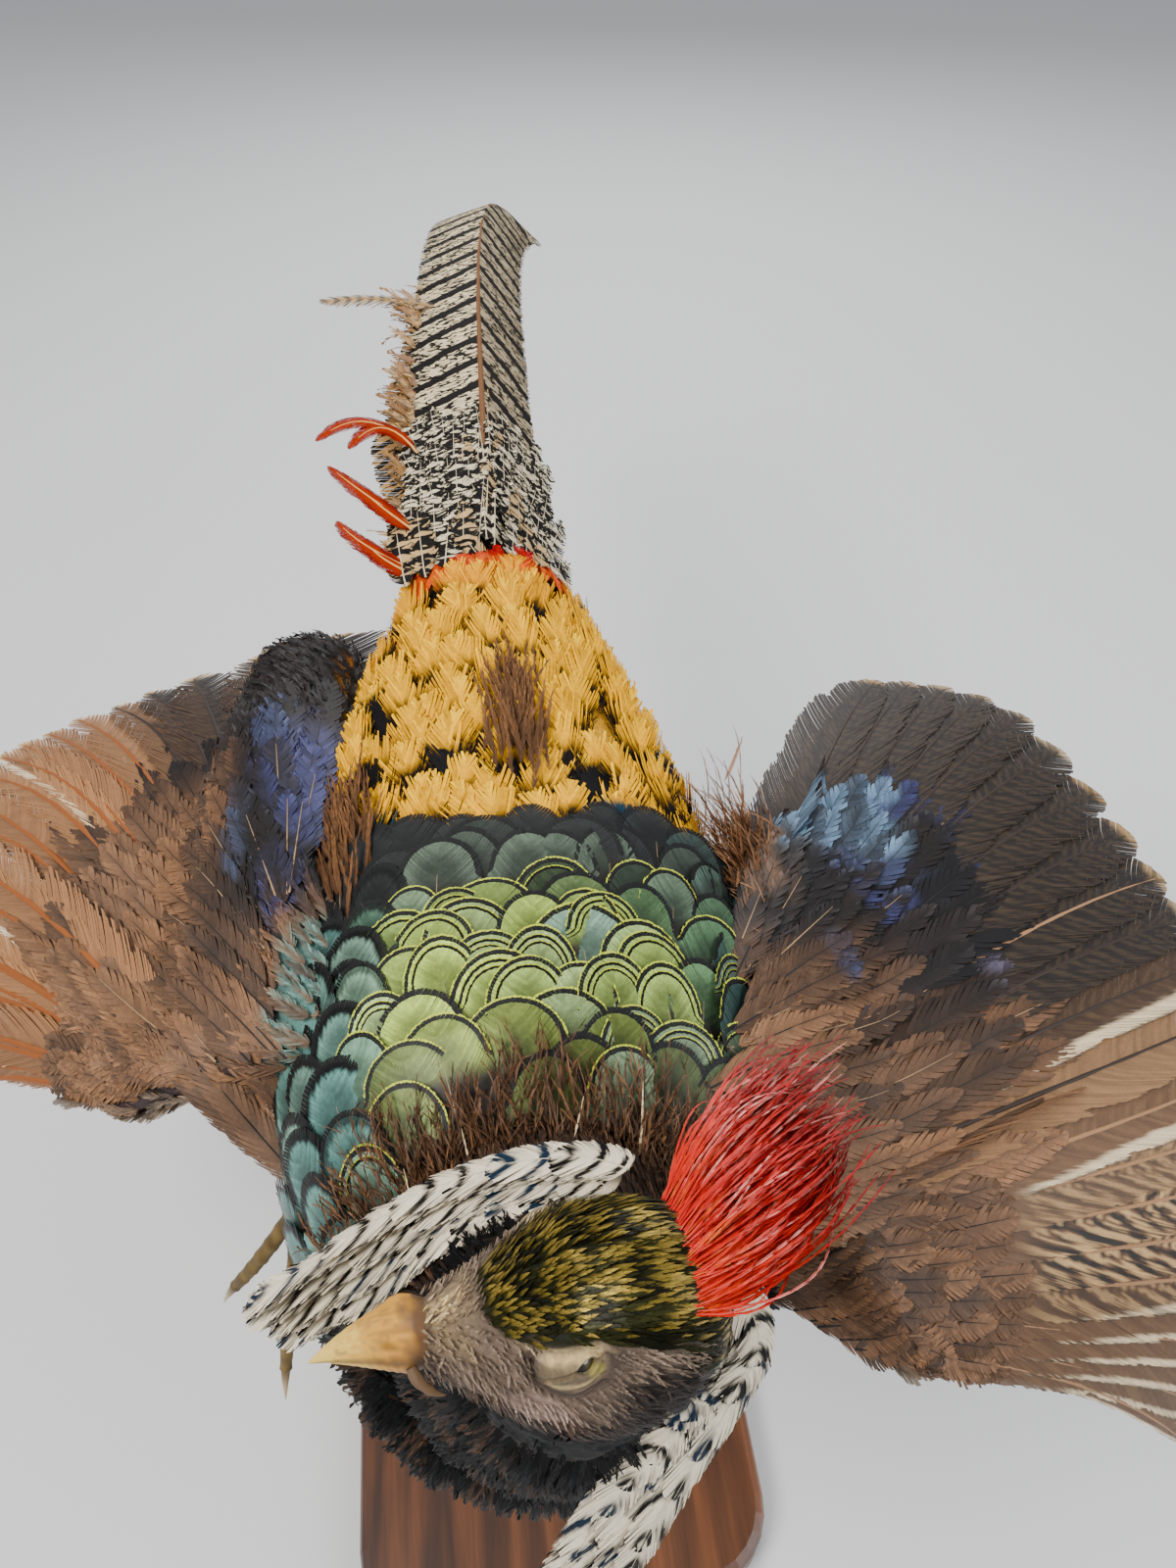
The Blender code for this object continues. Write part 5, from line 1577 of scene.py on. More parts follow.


# patches over the coverts, the blue and violet ones a painted sheen where their gloss catches the light, and
# fluff: middle and half sizes, to the left of and behind the mantle, and colour
PATCHES = {
    "left": (
        (0.107, 0.070, 0.020, 0.019, SKY),
        (0.146, 0.082, 0.026, 0.013, VIOLET),
        (0.126, 0.084, 0.008, 0.006, SKY),
        (0.111, 0.049, 0.017, 0.006, SLATE),
        (0.157, 0.058, 0.014, 0.008, VIOLET),
        (0.112, 0.036, 0.008, 0.004, VIOLET),
        (0.091, 0.010, 0.006, 0.007, SLATE),
        (0.143, 0.014, 0.009, 0.005, hue(120, 112, 130)),
        (0.074, 0.052, 0.009, 0.022, hue(124, 98, 76)),
    ),
    "right": (
        (-0.062, 0.094, 0.014, 0.026, VIOLET),
        (-0.073, 0.122, 0.006, 0.012, SLATE),
        (-0.052, 0.066, 0.007, 0.016, SLATE),
        (-0.069, 0.048, 0.006, 0.013, VIOLET),
        (-0.083, 0.070, 0.005, 0.016, hue(84, 92, 112)),
        (-0.056, 0.004, 0.011, 0.028, mix(TEAL, BLACK, 0.3)),
    ),
}


def wing_tone(label, at):
    """The coverts' colour: near black, with blue and violet patches painted where their gloss catches the
    light, brown at the fore edge.
    """
    root = at["root"]
    own, wide = blotch(root, 0.012, 132), blotch(root, 0.034, 131)
    x = at["spot"][..., 0] - BACK[0] + 0.008 * (own - 0.5)
    y = at["spot"][..., 1] - BACK[1] + 0.010 * (blotch(root, 0.015, 133) - 0.5)
    dark = mix(hue(30, 28, 32), hue(54, 44, 40), own)
    brown = mix(hue(86, 66, 50), hue(156, 118, 86), own * 0.7 + 0.3 * at["seed"])
    if label == "left":
        worn = step(y + 0.020 * wide, 0.034, -0.012)
        colour = mix(dark, brown, worn)
        colour = mix(colour, mix(hue(74, 68, 64), hue(100, 86, 72), own), step(y, 0.104, 0.124) * 0.7)
    else:
        worn = np.maximum(step(-x, 0.078, 0.100) * step(y, 0.13, 0.09), step(y + 0.02 * wide, 0.064, 0.024))
        colour = mix(mix(dark, hue(44, 34, 30), 0.5), brown, worn)
        colour = mix(colour, mix(brown, TAN, 0.5), worn * step(at["seed"], 0.55, 0.8) * 0.7)
    gloss = 0.22 * (1 - worn)
    # the blue and violet patches are partly a painted sheen in the colour and partly more metallic gloss
    for px, py, rx, ry, shine in PATCHES[label]:
        share = step(np.hypot((x - px) / rx, (y - py) / ry), 1.30, 0.80)
        share = share * (0.25 + 0.75 * step(at["seed"], 0.20, 0.45)) * (0.55 + 0.45 * at["barb"])
        share = share * step(at["reach"] + at["along"], 0.25, 0.7)
        colour = mix(colour, shine, share)
        gloss = np.maximum(gloss, share * 0.45 * (shine[2] > shine[0]))
    return colour, gloss


def flight_feathers(label, first, last, name, replaced):
    """The long feathers of the hand or the forearm, each with a narrow outer and a wide inner vane."""
    wing = WINGS[label]
    coat = Coat(name)
    numbers = np.arange(first, last, dtype=float)
    draw = np.random.default_rng(141 + first + (label == "left"))
    worn = 0.5 if label == "right" else 0.15
    end = 1.0 - worn * 0.06 * draw.random(len(numbers))
    if label == "left":
        sway = np.interp(numbers, (0, 2, 5, 9, 12, 21), (0.015, -0.020, -0.055, -0.040, 0.0, 0.02))
    else:
        sway = (np.interp(numbers, (0, 6, 12, 21), (0.02, 0.035, 0.045, 0.02))
                + draw.normal(size=len(numbers)) * 0.02)
    height = 0.0004 + 0.00009 * numbers
    track = fan_rails(wing, numbers, 0 * numbers, end, (height, height + 0.0006), points=12, sideways=sway)
    near_tip = 0 * numbers + 0.78
    inner_edge, outer_edge = (
        fan_places(wing, np.clip(numbers + half, 0, INNERMOST), near_tip) for half in (0.5, -0.5)
    )
    pitch = np.linalg.norm(inner_edge - outer_edge, axis=1)
    pitch = np.where(numbers == 0, pitch * 2, pitch)
    outer = (pitch * 0.62 + 0.0012) * np.where(numbers == 0, 0.35, 1.0)
    inner = pitch * 1.15 + 0.002
    # side 1 of the rails is towards ahead x up, which is the outer vane on the left wing
    width = np.stack([inner, outer] if label == "left" else [outer, inner], axis=1)
    outer_side = 1 if label == "left" else -1
    flecked = each(step(numbers, 4.4, 5.6) * step(numbers, 8.4, 7.6) * (label == "left") + 0.06)

    def tone(at):
        n = at["number"] + first
        spotty = blotch(at["spot"] * np.array((1.0, 1.0, 0.0)), 0.0036, 142)
        if label == "left":
            vane = mix(hue(132, 100, 70), hue(52, 43, 38), step(n, 9.0, 12.0) + 0 * at["along"])
            vane = mix(vane, hue(160, 126, 92), np.isin(n, (8, 10)) * 0.85)
            vane = mix(vane, hue(62, 54, 50), step(n, 15.5, 18.5) * 0.7)
            outer_vane = mix(vane, hue(92, 70, 52), 0.45 * step(n, 10.0, 8.0))
        else:
            vane = mix(hue(184, 138, 96), hue(144, 106, 74), at["seed"] * 0.8)
            vane = mix(vane, hue(48, 39, 34), step(n, 15.5, 18) + 0 * at["along"])
            outer_vane = mix(vane, hue(104, 76, 54), 0.3)
        outwards = at["side"] == outer_side
        colour = np.where(outwards[..., None], outer_vane, vane)
        colour = colour * (0.74 + 0.32 * at["reach"] + 0.08 * (at["barb"] - 0.5))[..., None]
        edged = np.isin(n, (0, 1, 2, 3, 4, 5, 9, 11)) if label == "left" else np.isin(n, (0, 2, 3, 5, 8, 13))
        low = np.where(n < 8, 0.70, 0.54) + 0.26 * step(at["along"], 0.60, 0.30)
        stripe = step(at["reach"], low, low + 0.05) * outwards * step(at["along"], 0.28, 0.34) * edged
        colour = mix(colour, mix(CREAM, WHITE, 0.3), stripe)
        colour = mix(colour, hue(48, 38, 32), step(at["reach"], 0.95, 0.99) * stripe)
        frayed = step(at["along"], 0.95, 0.985) * (0.5 + 0.5 * (at["barb"] > 0.4))
        colour = mix(colour, mix(CREAM, BUFF, at["seed"]), frayed * (0.9 if label == "right" else 0.6))
        where = flecked * step(at["along"], 0.24, 0.34)
        colour = mix(colour, hue(198, 166, 120), step(spotty, 0.58, 0.64) * where * 0.9)
        dark = step(spotty, 0.44, 0.36) * where
        return mix(colour, hue(34, 28, 24), dark * 0.9), 0.05 + 0 * at["along"]

    uv = np.stack([0.02 + 0.96 * (numbers - first) / (last - first), 0 * numbers + 0.02], axis=1)
    if label == "left":
        pale = (numbers < 10) | (numbers == 13)
        shaft = np.where(pale[:, None], mix(hue(150, 96, 48), CREAM, 0.25), hue(66, 52, 43))
    else:
        shaft = np.where(numbers[:, None] < 17, hue(156, 96, 46), hue(66, 52, 43))
    coat.plumes(track, width, "vane", tone, uv, bands=110, steps=9, sweep=1.9, curve=0.45,
                tilt=0.075 * outer_side, gap=0.12 if label == "left" else 0.60, fray=0.04 + worn * 0.30,
                torn=0.06 + worn, cup=4.0, sag=0.02, puff=0.0001 + 0.0003 * worn,
                cell=(0.94 / (last - first), 0.95), shaft=0.0010 if label == "left" else 0.0014,
                shaft_tone=shaft, shaft_end=0.97, base=0.05, varied=0.22, seed=143 + first)
    material = coat_material(f"{name}_vane", rough=0.58, mottle=0.12, size=1500.0)
    return coat.build(material, replaced, slot="wing_brown")


def height_over(tree, places, from_below=False):
    """Places moved up or down on to the topmost or lowest surface there, where there is one."""
    out = places.copy()
    normals = np.zeros_like(places)
    normals[:, 2] = -1.0 if from_below else 1.0
    found = np.zeros(len(places), bool)
    for i, place in enumerate(places):
        start = Vector((place[0], place[1], place[2] + (-0.2 if from_below else 0.2)))
        spot, normal, _, _ = tree.ray_cast(start, Vector((0, 0, 1 if from_below else -1)))
        if spot:
            out[i], normals[i], found[i] = spot, normal, True
    return out, normals, found


def covert_rails(tree, wing, numbers, start, end, lift, below=False, points=6):
    """Rails along the fan that rest on the wing's solids, from above or from below."""
    share = np.linspace(0, 1, points)[None, :]
    along = start[:, None] + (end - start)[:, None] * share
    ids = np.clip(numbers[:, None] + 0 * along, 0, INNERMOST)
    spots = fan_places(wing, ids, along)
    shape = spots.shape
    rested, normals, found = height_over(tree, spots.reshape(-1, 3), below)
    rested = rested.reshape(shape)
    found = found.reshape(shape[:2])
    level = np.where(found[..., None], rested, spots)
    level = np.concatenate([level[:, :1], (level[:, :-2] + level[:, 1:-1] * 2 + level[:, 2:]) / 4,
                            level[:, -1:]], axis=1)
    ups = unit(normals.reshape(shape).mean(axis=1, keepdims=True))
    rise = (lift[0] + (lift[1] - lift[0]) * share)[..., None]
    return rails(level + ups * rise, np.broadcast_to(ups, shape))


def wing_coverts(label):
    """Rows of coverts over the roots of the flight feathers, above and below, and small ones on the arm."""
    wing = WINGS[label]
    tree = tree_of(*[f"wing_{label}_{part}" for part in ("arm", "hand", "primaries", "secondaries")])
    coat = Coat(f"wing_{label}_coverts")
    draw = np.random.default_rng(151 + (label == "left"))
    rows = (  # count, share where they grow, share where they end, half width, lift at the tip
        (22, 0.16, 0.56, 0.0100, 0.0010),
        (24, 0.02, 0.40, 0.0092, 0.0020),
        (26, -0.10, 0.26, 0.0082, 0.0030),
        (28, -0.20, 0.14, 0.0070, 0.0034),
        (28, -0.28, 0.03, 0.0060, 0.0034),
    )
    for row, (count, start, end, half, lift) in enumerate(rows):
        numbers = np.linspace(0.2, 21.4, count) + draw.normal(size=count) * 0.15
        primary = step(numbers, 10, 6)
        first = start * (1 - 0.45 * primary) + draw.normal(size=count) * 0.012
        last = first + (end - start) * (1 - 0.56 * primary) * draw.uniform(0.9, 1.12, count)
        track = covert_rails(tree, wing, np.clip(numbers, 0, INNERMOST), first, last, (0.0004, lift))
        half_width = half * (1 - 0.25 * primary) * draw.uniform(0.85, 1.1, count)

        def tone(at):
            colour, gloss = wing_tone(label, at)
            colour = colour * (0.62 + 0.5 * at["reach"])[..., None]
            return mix(colour, BLACK, step(at["reach"], 0.86, 0.96) * 0.5), gloss

        shaft_tone = np.where(draw.random((count, 1)) < 0.16, mix(hue(142, 106, 66), CREAM, 0.3),
                              hue(40, 33, 30))
        uv = np.stack([0.02 + 0.96 * (numbers / FEATHERS), 0 * numbers + 0.03 + 0.13 * row], axis=1)
        coat.plumes(track, half_width, "leaf", tone, uv, bands=26, steps=5, sweep=1.5, gap=0.65, fray=0.24,
                    torn=0.35, cup=25.0, puff=0.0004, cell=(0.032, 0.12), shaft=0.00030,
                    shaft_tone=shaft_tone, shaft_end=0.9, varied=0.4, seed=153 + row)
        if row in (0, 2):
            track = covert_rails(tree, wing, np.clip(numbers, 0, INNERMOST), first, last, (0.0004, 0.0016),
                                 below=True)

            def pale(at):
                return mix(DUST, hue(150, 136, 120), at["seed"]) * (0.7 + 0.4 * at["reach"])[..., None], 0.02

            coat.plumes(track, half_width, "leaf", pale, uv + np.array((0, 0.66)), bands=14, steps=3,
                        sweep=1.1, gap=0.5, fray=0.2, cup=-25.0, cell=(0.032, 0.12), shaft=0.00025,
                        shaft_tone=DUST, varied=0.3, seed=160 + row)
    return coat.build(coat_material(f"feather_coverts_{label}", gloss=0.8), slot="wing_blue")


def scapulars(label):
    """Dark feathers over the shoulder and arm, loose tan ones along the fore edge, and pale ones below."""
    sign = 1 if label == "left" else -1
    coat = Coat(f"wing_{label}_scapulars")
    names = [f"wing_{label}_arm", f"wing_{label}_hand"]
    tree = tree_of(*names)
    wing = WINGS[label]
    places, normals = scatter(names, 0.0046, None, 171 + sign)
    elbow = fan_places(wing, np.array([18.0]), np.array([0.0]))[0]
    near = step(np.linalg.norm(places - elbow, axis=1), 0.10, 0.02)[:, None]

    def heading(number):
        root, tip = fan_places(wing, np.array([number, number]), np.array([0.0, 0.6]))
        return unit(tip - root)

    draw = np.random.default_rng(173 + sign)
    aims = strewn(draw, heading(6.0) * (1 - near) + heading(20.0) * near, places.shape, 0.12)
    lengths = draw.uniform(0.016, 0.026, len(places)) * (0.6 + 0.4 * near[:, 0])
    top = step(normals[:, 2], -0.2, 0.3)
    track = draped_rails(tree, places, aims, lengths, (-0.0012, 0.0016), points=5)

    def tone(at):
        colour, gloss = wing_tone(label, at)
        upper = each(top) + 0 * at["along"]
        under = mix(DUST, hue(146, 128, 108), at["seed"])
        colour = mix(under, colour, upper) * (0.7 + 0.5 * at["reach"])[..., None]
        return colour, gloss * upper

    coat.plumes(track, 0.0023, "lance", tone, body_uv(places), bands=13, steps=2, sweep=3.2, gap=0.8,
                fray=0.4, cup=40.0, puff=0.0006, varied=0.5, seed=174)
    if label == "left":
        count = 260
        spots = MANTLE + Vector((0.073, 0.050, -0.036))
        places = np.array(spots) + draw.normal(size=(count, 3)) * np.array((0.0045, 0.013, 0.002))
        aims = strewn(draw, np.array((-0.30, 0.45, 0.55)), places.shape, 0.22)
        track = straight_rails(places, aims, np.broadcast_to((0.5, 0.2, 0.8), places.shape),
                               draw.uniform(0.014, 0.024, count), bow=0.10)
        coat.plumes(track, 0.0011, "lance",
                    lambda at: (mix(hue(120, 84, 58), hue(190, 146, 104), at["seed"]), 0.0), body_uv(places),
                    bands=10, steps=1, sweep=6.0, gap=0.9, fray=0.5, varied=0.5, seed=175)
    return coat.build(coat_material(f"feather_scapular_{label}", gloss=0.8), slot="wing_blue")


# ---------------------------------------------------------------- tail
RIDGE = 0.004  # a feather whose shaft is nearer than this to the roof's ridge has a side on each slope


def tail_place(y, across, lift):
    """A point on or over the tail's roof: across is the distance from the ridge, + to the bird's left."""
    x, z = between(TAIL_LINE, y)
    slope = math.radians(LEFT_SLOPE if across > 0 else RIGHT_SLOPE)
    normal = Vector((math.sin(slope), 0, math.cos(slope)))
    if across < 0:
        normal.x = -normal.x
    place = Vector((x + across * math.cos(slope), y, z - abs(across) * math.sin(slope)))
    return MANTLE + place + normal * lift


def roof_rails(starts, ends, first, last, lift, points):
    """Rails along the tail's roof from (start, first across) to (end, last across), with both slopes."""
    count = len(starts)
    spots = np.empty((count, points, 3))
    sides, ups = np.empty((count, 2, points, 3)), np.empty((count, 2, points, 3))
    share = np.linspace(0, 1, points)
    for i in range(count):
        for j, s in enumerate(share):
            y = starts[i] + (ends[i] - starts[i]) * s
            across = first[i] + (last[i] - first[i]) * s
            rise = lift[0] + (lift[1] - lift[0]) * s
            spots[i, j] = tail_place(y, across, rise)
            for side, way in ((0, -1e-4), (1, 1e-4)):
                on = across if abs(across) > RIDGE else way
                left = on > 0
                slope = math.radians(LEFT_SLOPE if left else RIGHT_SLOPE)
                sides[i, side, j] = (math.cos(slope), 0, -math.sin(slope) if left else math.sin(slope))
                ups[i, side, j] = (math.sin(slope) if left else -math.sin(slope), 0, math.cos(slope))
    ahead = unit(np.gradient(spots, axis=1))[:, None]
    sides = unit(sides - ahead * np.sum(sides * ahead, axis=-1, keepdims=True))
    return spots, sides, np.cross(sides, np.broadcast_to(ahead, sides.shape))


def tail_centre():
    """The long centre feather: cream white, barred obliquely, with fine broken lines between the bars."""
    coat = Coat("tail_centre_feather")
    lift = TAIL_THICK / 2
    track = roof_rails([TAIL_START - 0.004], [0.640], [0.0], [0.0], (lift, lift), points=60)

    def tone(at):
        side = at["side"] > 0
        # the vane on the steep left slope is painted darker: painted shade on the side turned from the light
        colour = np.where(side[..., None], hue(190, 174, 144), hue(228, 212, 178))
        return mix(colour, hue(176, 160, 132), step(at["reach"], 0.75, 1.0) * 0.4), 0.0

    coat.plumes(track, 0.0345, "strap", tone, (0.02, 0.02), bands=330, steps=12, sweep=0.75, curve=0.35,
                gap=0.22, fray=0.07, cup=2.0, puff=0.00012, cell=(0.45, 0.95), shaft=0.0017,
                shaft_tone=hue(136, 98, 66), shaft_end=0.985, base=0.0, varied=0.12, seed=181)
    # the same feather's mate lies just under it and fills its frayed edge
    track = roof_rails([TAIL_START - 0.004], [0.632], [0.001], [-0.001], (-lift * 0.4, -lift * 0.4),
                       points=60)
    coat.plumes(track, 0.0335, "strap", tone, (0.52, 0.02), bands=200, steps=8, sweep=0.75, curve=0.35,
                gap=0.15, fray=0.05, cup=2.0, cell=(0.45, 0.95), base=0.0, varied=0.12, seed=182)
    material = barred_material("feather_tail_centre", hue(34, 28, 25), 0.0074, 0.0235, -0.42, 380.0, 0.0030)
    return coat.build(material, "tail_centre", slot="tail_barred")


def tail_sides():
    """Golden-brown side feathers with dark bars, in steps under the centre feather."""
    coat = Coat("tail_side_feathers")
    plan = []  # start, end, across at the root and the tip
    for k in range(5):
        plan.append((TAIL_START, 0.490 - 0.045 * k, -0.006 - 0.002 * k, -0.020 - 0.0055 * k))
        plan.append((TAIL_START, 0.420 - 0.040 * k, 0.006 + 0.002 * k, 0.020 + 0.0042 * k))
    starts, ends, first, last = (np.array(column) for column in zip(*plan))
    width = np.where(first < 0, 0.0150, 0.0140)
    track = roof_rails(starts, ends, first, last, (-0.0018, -0.0030), points=16)

    def tone(at):
        edge = step(at["reach"], 0.5, 1.0)
        return mix(hue(170, 132, 82), hue(208, 178, 128), edge * 0.6 + at["seed"] * 0.3), 0.0

    uv = np.stack([0.02 + 0.096 * np.arange(len(starts)), 0 * starts + 0.02], axis=1)
    coat.plumes(track, width, "vane", tone, uv, bands=90, steps=7, sweep=0.9, gap=0.35, fray=0.12, cup=4.0,
                puff=0.0002, cell=(0.09, 0.95), shaft=0.0008, shaft_tone=hue(150, 110, 70), varied=0.2,
                seed=183)
    material = barred_material("feather_tail_side", hue(34, 28, 24), 0.0042, 0.0130, -0.55, 240.0, 0.002)
    return coat.build(material, "tail_left", "tail_right", slot="tail_barred")


def tail_cover():
    """White coverts with a black mosaic over the tail's root, a few of them buff and a few slate towards the
    tip.
    """
    coat = Coat("tail_covert_feathers")
    draw = np.random.default_rng(184)
    starts, ends, first, last = [], [], [], []
    for row, y in enumerate(np.arange(0.166, 0.262, 0.0115)):
        for across in np.linspace(-0.031, 0.031, 8) + (row % 2) * 0.004:
            starts.append(y + draw.normal() * 0.003)
            ends.append(min(y + 0.040 + draw.normal() * 0.004, 0.306))
            first.append(across * 0.8)
            last.append(across * (1.0 + 0.10 * draw.normal()) + draw.normal() * 0.002)
    order = np.argsort(-np.array(starts))
    starts, ends, first, last = (np.array(v)[order] for v in (starts, ends, first, last))
    back = (starts - starts.min()) / np.ptp(starts)
    track = roof_rails(starts, ends, first, last, (0.0, 0.0), points=8)
    height = 0.0096 * (1 - back)[:, None] + 0.0016 + np.linspace(0, -0.0010, 8)[None]
    spots = track[0] + track[2].mean(axis=1) * height[..., None]
    track = (spots, track[1], track[2])

    def tone(at):
        buff = (at["seed"] > 0.88) * 1.0
        slate = ((at["seed"] > 0.80) & (at["seed"] <= 0.84)) * step(at["along"], 0.6, 0.7)
        colour = mix(hue(222, 210, 182), BUFF, buff * 0.8)
        return mix(colour, hue(60, 84, 104), slate), 0.0

    uv = np.stack([0.45 + first * 12, 0.03 + 0.85 * back], axis=1)
    coat.plumes(track, 0.0066, "leaf", tone, uv, bands=28, steps=6, sweep=1.0, gap=0.55, fray=0.22, cup=25.0,
                puff=0.0005, cell=(0.05, 0.07), shaft=0.0003, shaft_tone=mix(WHITE, BUFF, 0.3), varied=0.2,
                seed=185)
    material = barred_material("feather_tail_covert", hue(30, 27, 25), 0.0030, 0.0092, -0.5, 210.0, 0.0034)
    return coat.build(material, "tail_coverts", slot="tail_barred")


def tail_fluff():
    """Loose buff and barred feathers along the tail's right edge, and the tuft under the tail's root."""
    coat = Coat("tail_loose_down")
    draw = np.random.default_rng(186)
    count = 104
    y = np.concatenate([draw.normal(0.405, 0.010, 34), draw.normal(0.315, 0.022, 40),
                        draw.uniform(0.19, 0.44, 30)])
    across = -0.029 - draw.random(count) * 0.006
    roots = np.array([tail_place(a, b, -0.001) for a, b in zip(y, across)])
    aims = strewn(draw, np.array((-0.7, 0.9, -0.05)), roots.shape, 0.25)
    ups = np.broadcast_to((0.2, 0.0, 1.0), roots.shape)
    track = straight_rails(roots, aims, ups, draw.uniform(0.012, 0.022, count), bow=0.08)
    uv = np.stack([0.1 + 0 * y, (y - 0.15) * 3], axis=1)

    def buff(at):
        bars = np.sin(at["along"] * 22 + at["seed"] * 6) > 0.35
        colour = mix(hue(136, 94, 46), hue(204, 164, 104), at["seed"])
        return mix(colour, UMBER, bars * (at["seed"] > 0.35) * 0.8), 0.0

    coat.plumes(track, 0.0030, "leaf", buff, uv, bands=14, steps=3, sweep=2.4, gap=0.8, fray=0.45, cup=20,
                puff=0.0006, varied=0.4, seed=187)
    tree = tree_of("tail_undercoverts")
    places, normals = scatter(["tail_undercoverts"], 0.0060, None, 188)
    aims = backward(places, normals, turn=0.12, seed=189)
    track = draped_rails(tree, places, aims, draw.uniform(0.020, 0.034, len(places)), (-0.002, 0.0012))
    y = places[:, 1] - BACK[1]
    uv = np.stack([0.5 + (places[:, 0] - BACK[0]) * 6, (y - 0.15) * 3], axis=1)

    def under(at):
        bars = np.sin(at["along"] * 16 + at["seed"] * 3) > 0.2
        return mix(hue(206, 198, 184), mix(UMBER, DUST, 0.3), bars * 0.85), 0.0

    coat.plumes(track, 0.0050, "leaf", under, uv, bands=14, steps=4, sweep=1.4, gap=0.6, fray=0.25, cup=20,
                puff=0.0004, varied=0.3, seed=190)
    return coat.build(coat_material("feather_tail_fluff"), "tail_undercoverts", slot="tail_barred")


def long_feathers():
    """The orange-red coverts that stand out from the tail's right side, and one barred feather behind."""
    for number, (root, tip, bow) in enumerate(ORANGE_COVERTS, 1):
        coat = Coat(f"orange_covert_{number}")
        for share in (0.0, 1.0):
            start = root + Vector((0.0012, -0.003, -0.0006)) * share
            end = root.lerp(tip, 1.0 - 0.22 * share) + Vector((0.004, -0.004, -0.0008)) * share
            line = np.array([MANTLE + p for p in arc(start, end, bow, 12)])[None]
            track = rails(line, np.array((0.25, 0.0, 1.0)))

            def tone(at):
                colour = mix(hue(126, 8, 0), hue(164, 56, 0), step(at["reach"], 0.95, 0.35) * 0.95)
                colour = mix(BLACK, colour, step(at["along"], 0.04, 0.16))
                return mix(WHITE, colour, step(at["along"], -0.01, 0.05)), 0.0

            coat.plumes(track, 0.0054, "leaf", tone, (0.02 + 0.48 * share, 0.02), bands=84, steps=6,
                        sweep=2.4, gap=0.3, fray=0.2, cup=50, cell=(0.46, 0.95), crowd=1.7, shaft=0.0007,
                        shaft_tone=hue(226, 176, 112), shaft_end=0.85, varied=0.2, seed=191 + number)
        material = coat_material(f"feather_orange_{number}", rough=0.85, mottle=0.12, shine=0.04)
        coat.build(material, f"covert_orange_{number}", slot="covert_orange")

    coat = Coat("stray_feather")
    root, tip, bow = STRAY_FEATHER
    line = np.array([MANTLE + p for p in arc(root, tip, bow, 14)])[None]
    track = rails(line, np.array((0.1, 0.0, 1.0)))

    def brown(at):
        bars = np.sin(at["along"] * 62 - at["reach"] * 3.2) > 0.15
        colour = mix(hue(190, 158, 108), hue(120, 92, 60), at["reach"] * 0.4)
        return mix(colour, hue(38, 30, 24), bars * 0.9), 0.0

    coat.plumes(track, 0.0068, "vane", brown, (0.02, 0.02), bands=80, steps=6, sweep=1.0, gap=0.4, fray=0.3,
                cup=40, puff=0.0004, cell=(0.9, 0.95), shaft=0.0008, shaft_tone=hue(170, 140, 96),
                varied=0.25, seed=196)
    coat.build(coat_material("feather_stray"), "tail_stray_feather", slot="tail_barred")


# ---------------------------------------------------------------- legs and feet
def leg_down(label):
    """Soft feathers on the thigh, whitish above and brown below."""
    coat = Coat(f"leg_{label}_down")
    tree = tree_of(f"leg_{label}")
    places, _ = scatter([f"leg_{label}"], 0.0052, None, 201)
    down = np.array(LEGS[label]["hock"]) - np.array((0.034 * (1 if label == "left" else -1), 0.03, -0.082))
    draw = np.random.default_rng(202)
    aims = strewn(draw, unit(down), places.shape, 0.15)
    track = draped_rails(tree, places, aims, draw.uniform(0.011, 0.017, len(places)), (-0.0015, 0.0016))
    z = places[:, 2] - BACK[2]

    def tone(at):
        low = each(step(z, -0.080, -0.095))
        colour = mix(mix(WHITE, DUST, 0.45), mix(BROWN, TAN, at["seed"]), low * 0.8 + 0.2 * at["seed"])
        return colour * (0.7 + 0.4 * at["along"])[..., None], 0.0

    coat.plumes(track, 0.0032, "leaf", tone, body_uv(places), bands=9, steps=3, sweep=1.6, gap=0.8, fray=0.35,
                cup=60, puff=0.0005, varied=0.4, seed=203)
    return coat.build(coat_material(f"feather_leg_{label}"), slot="leg_down")


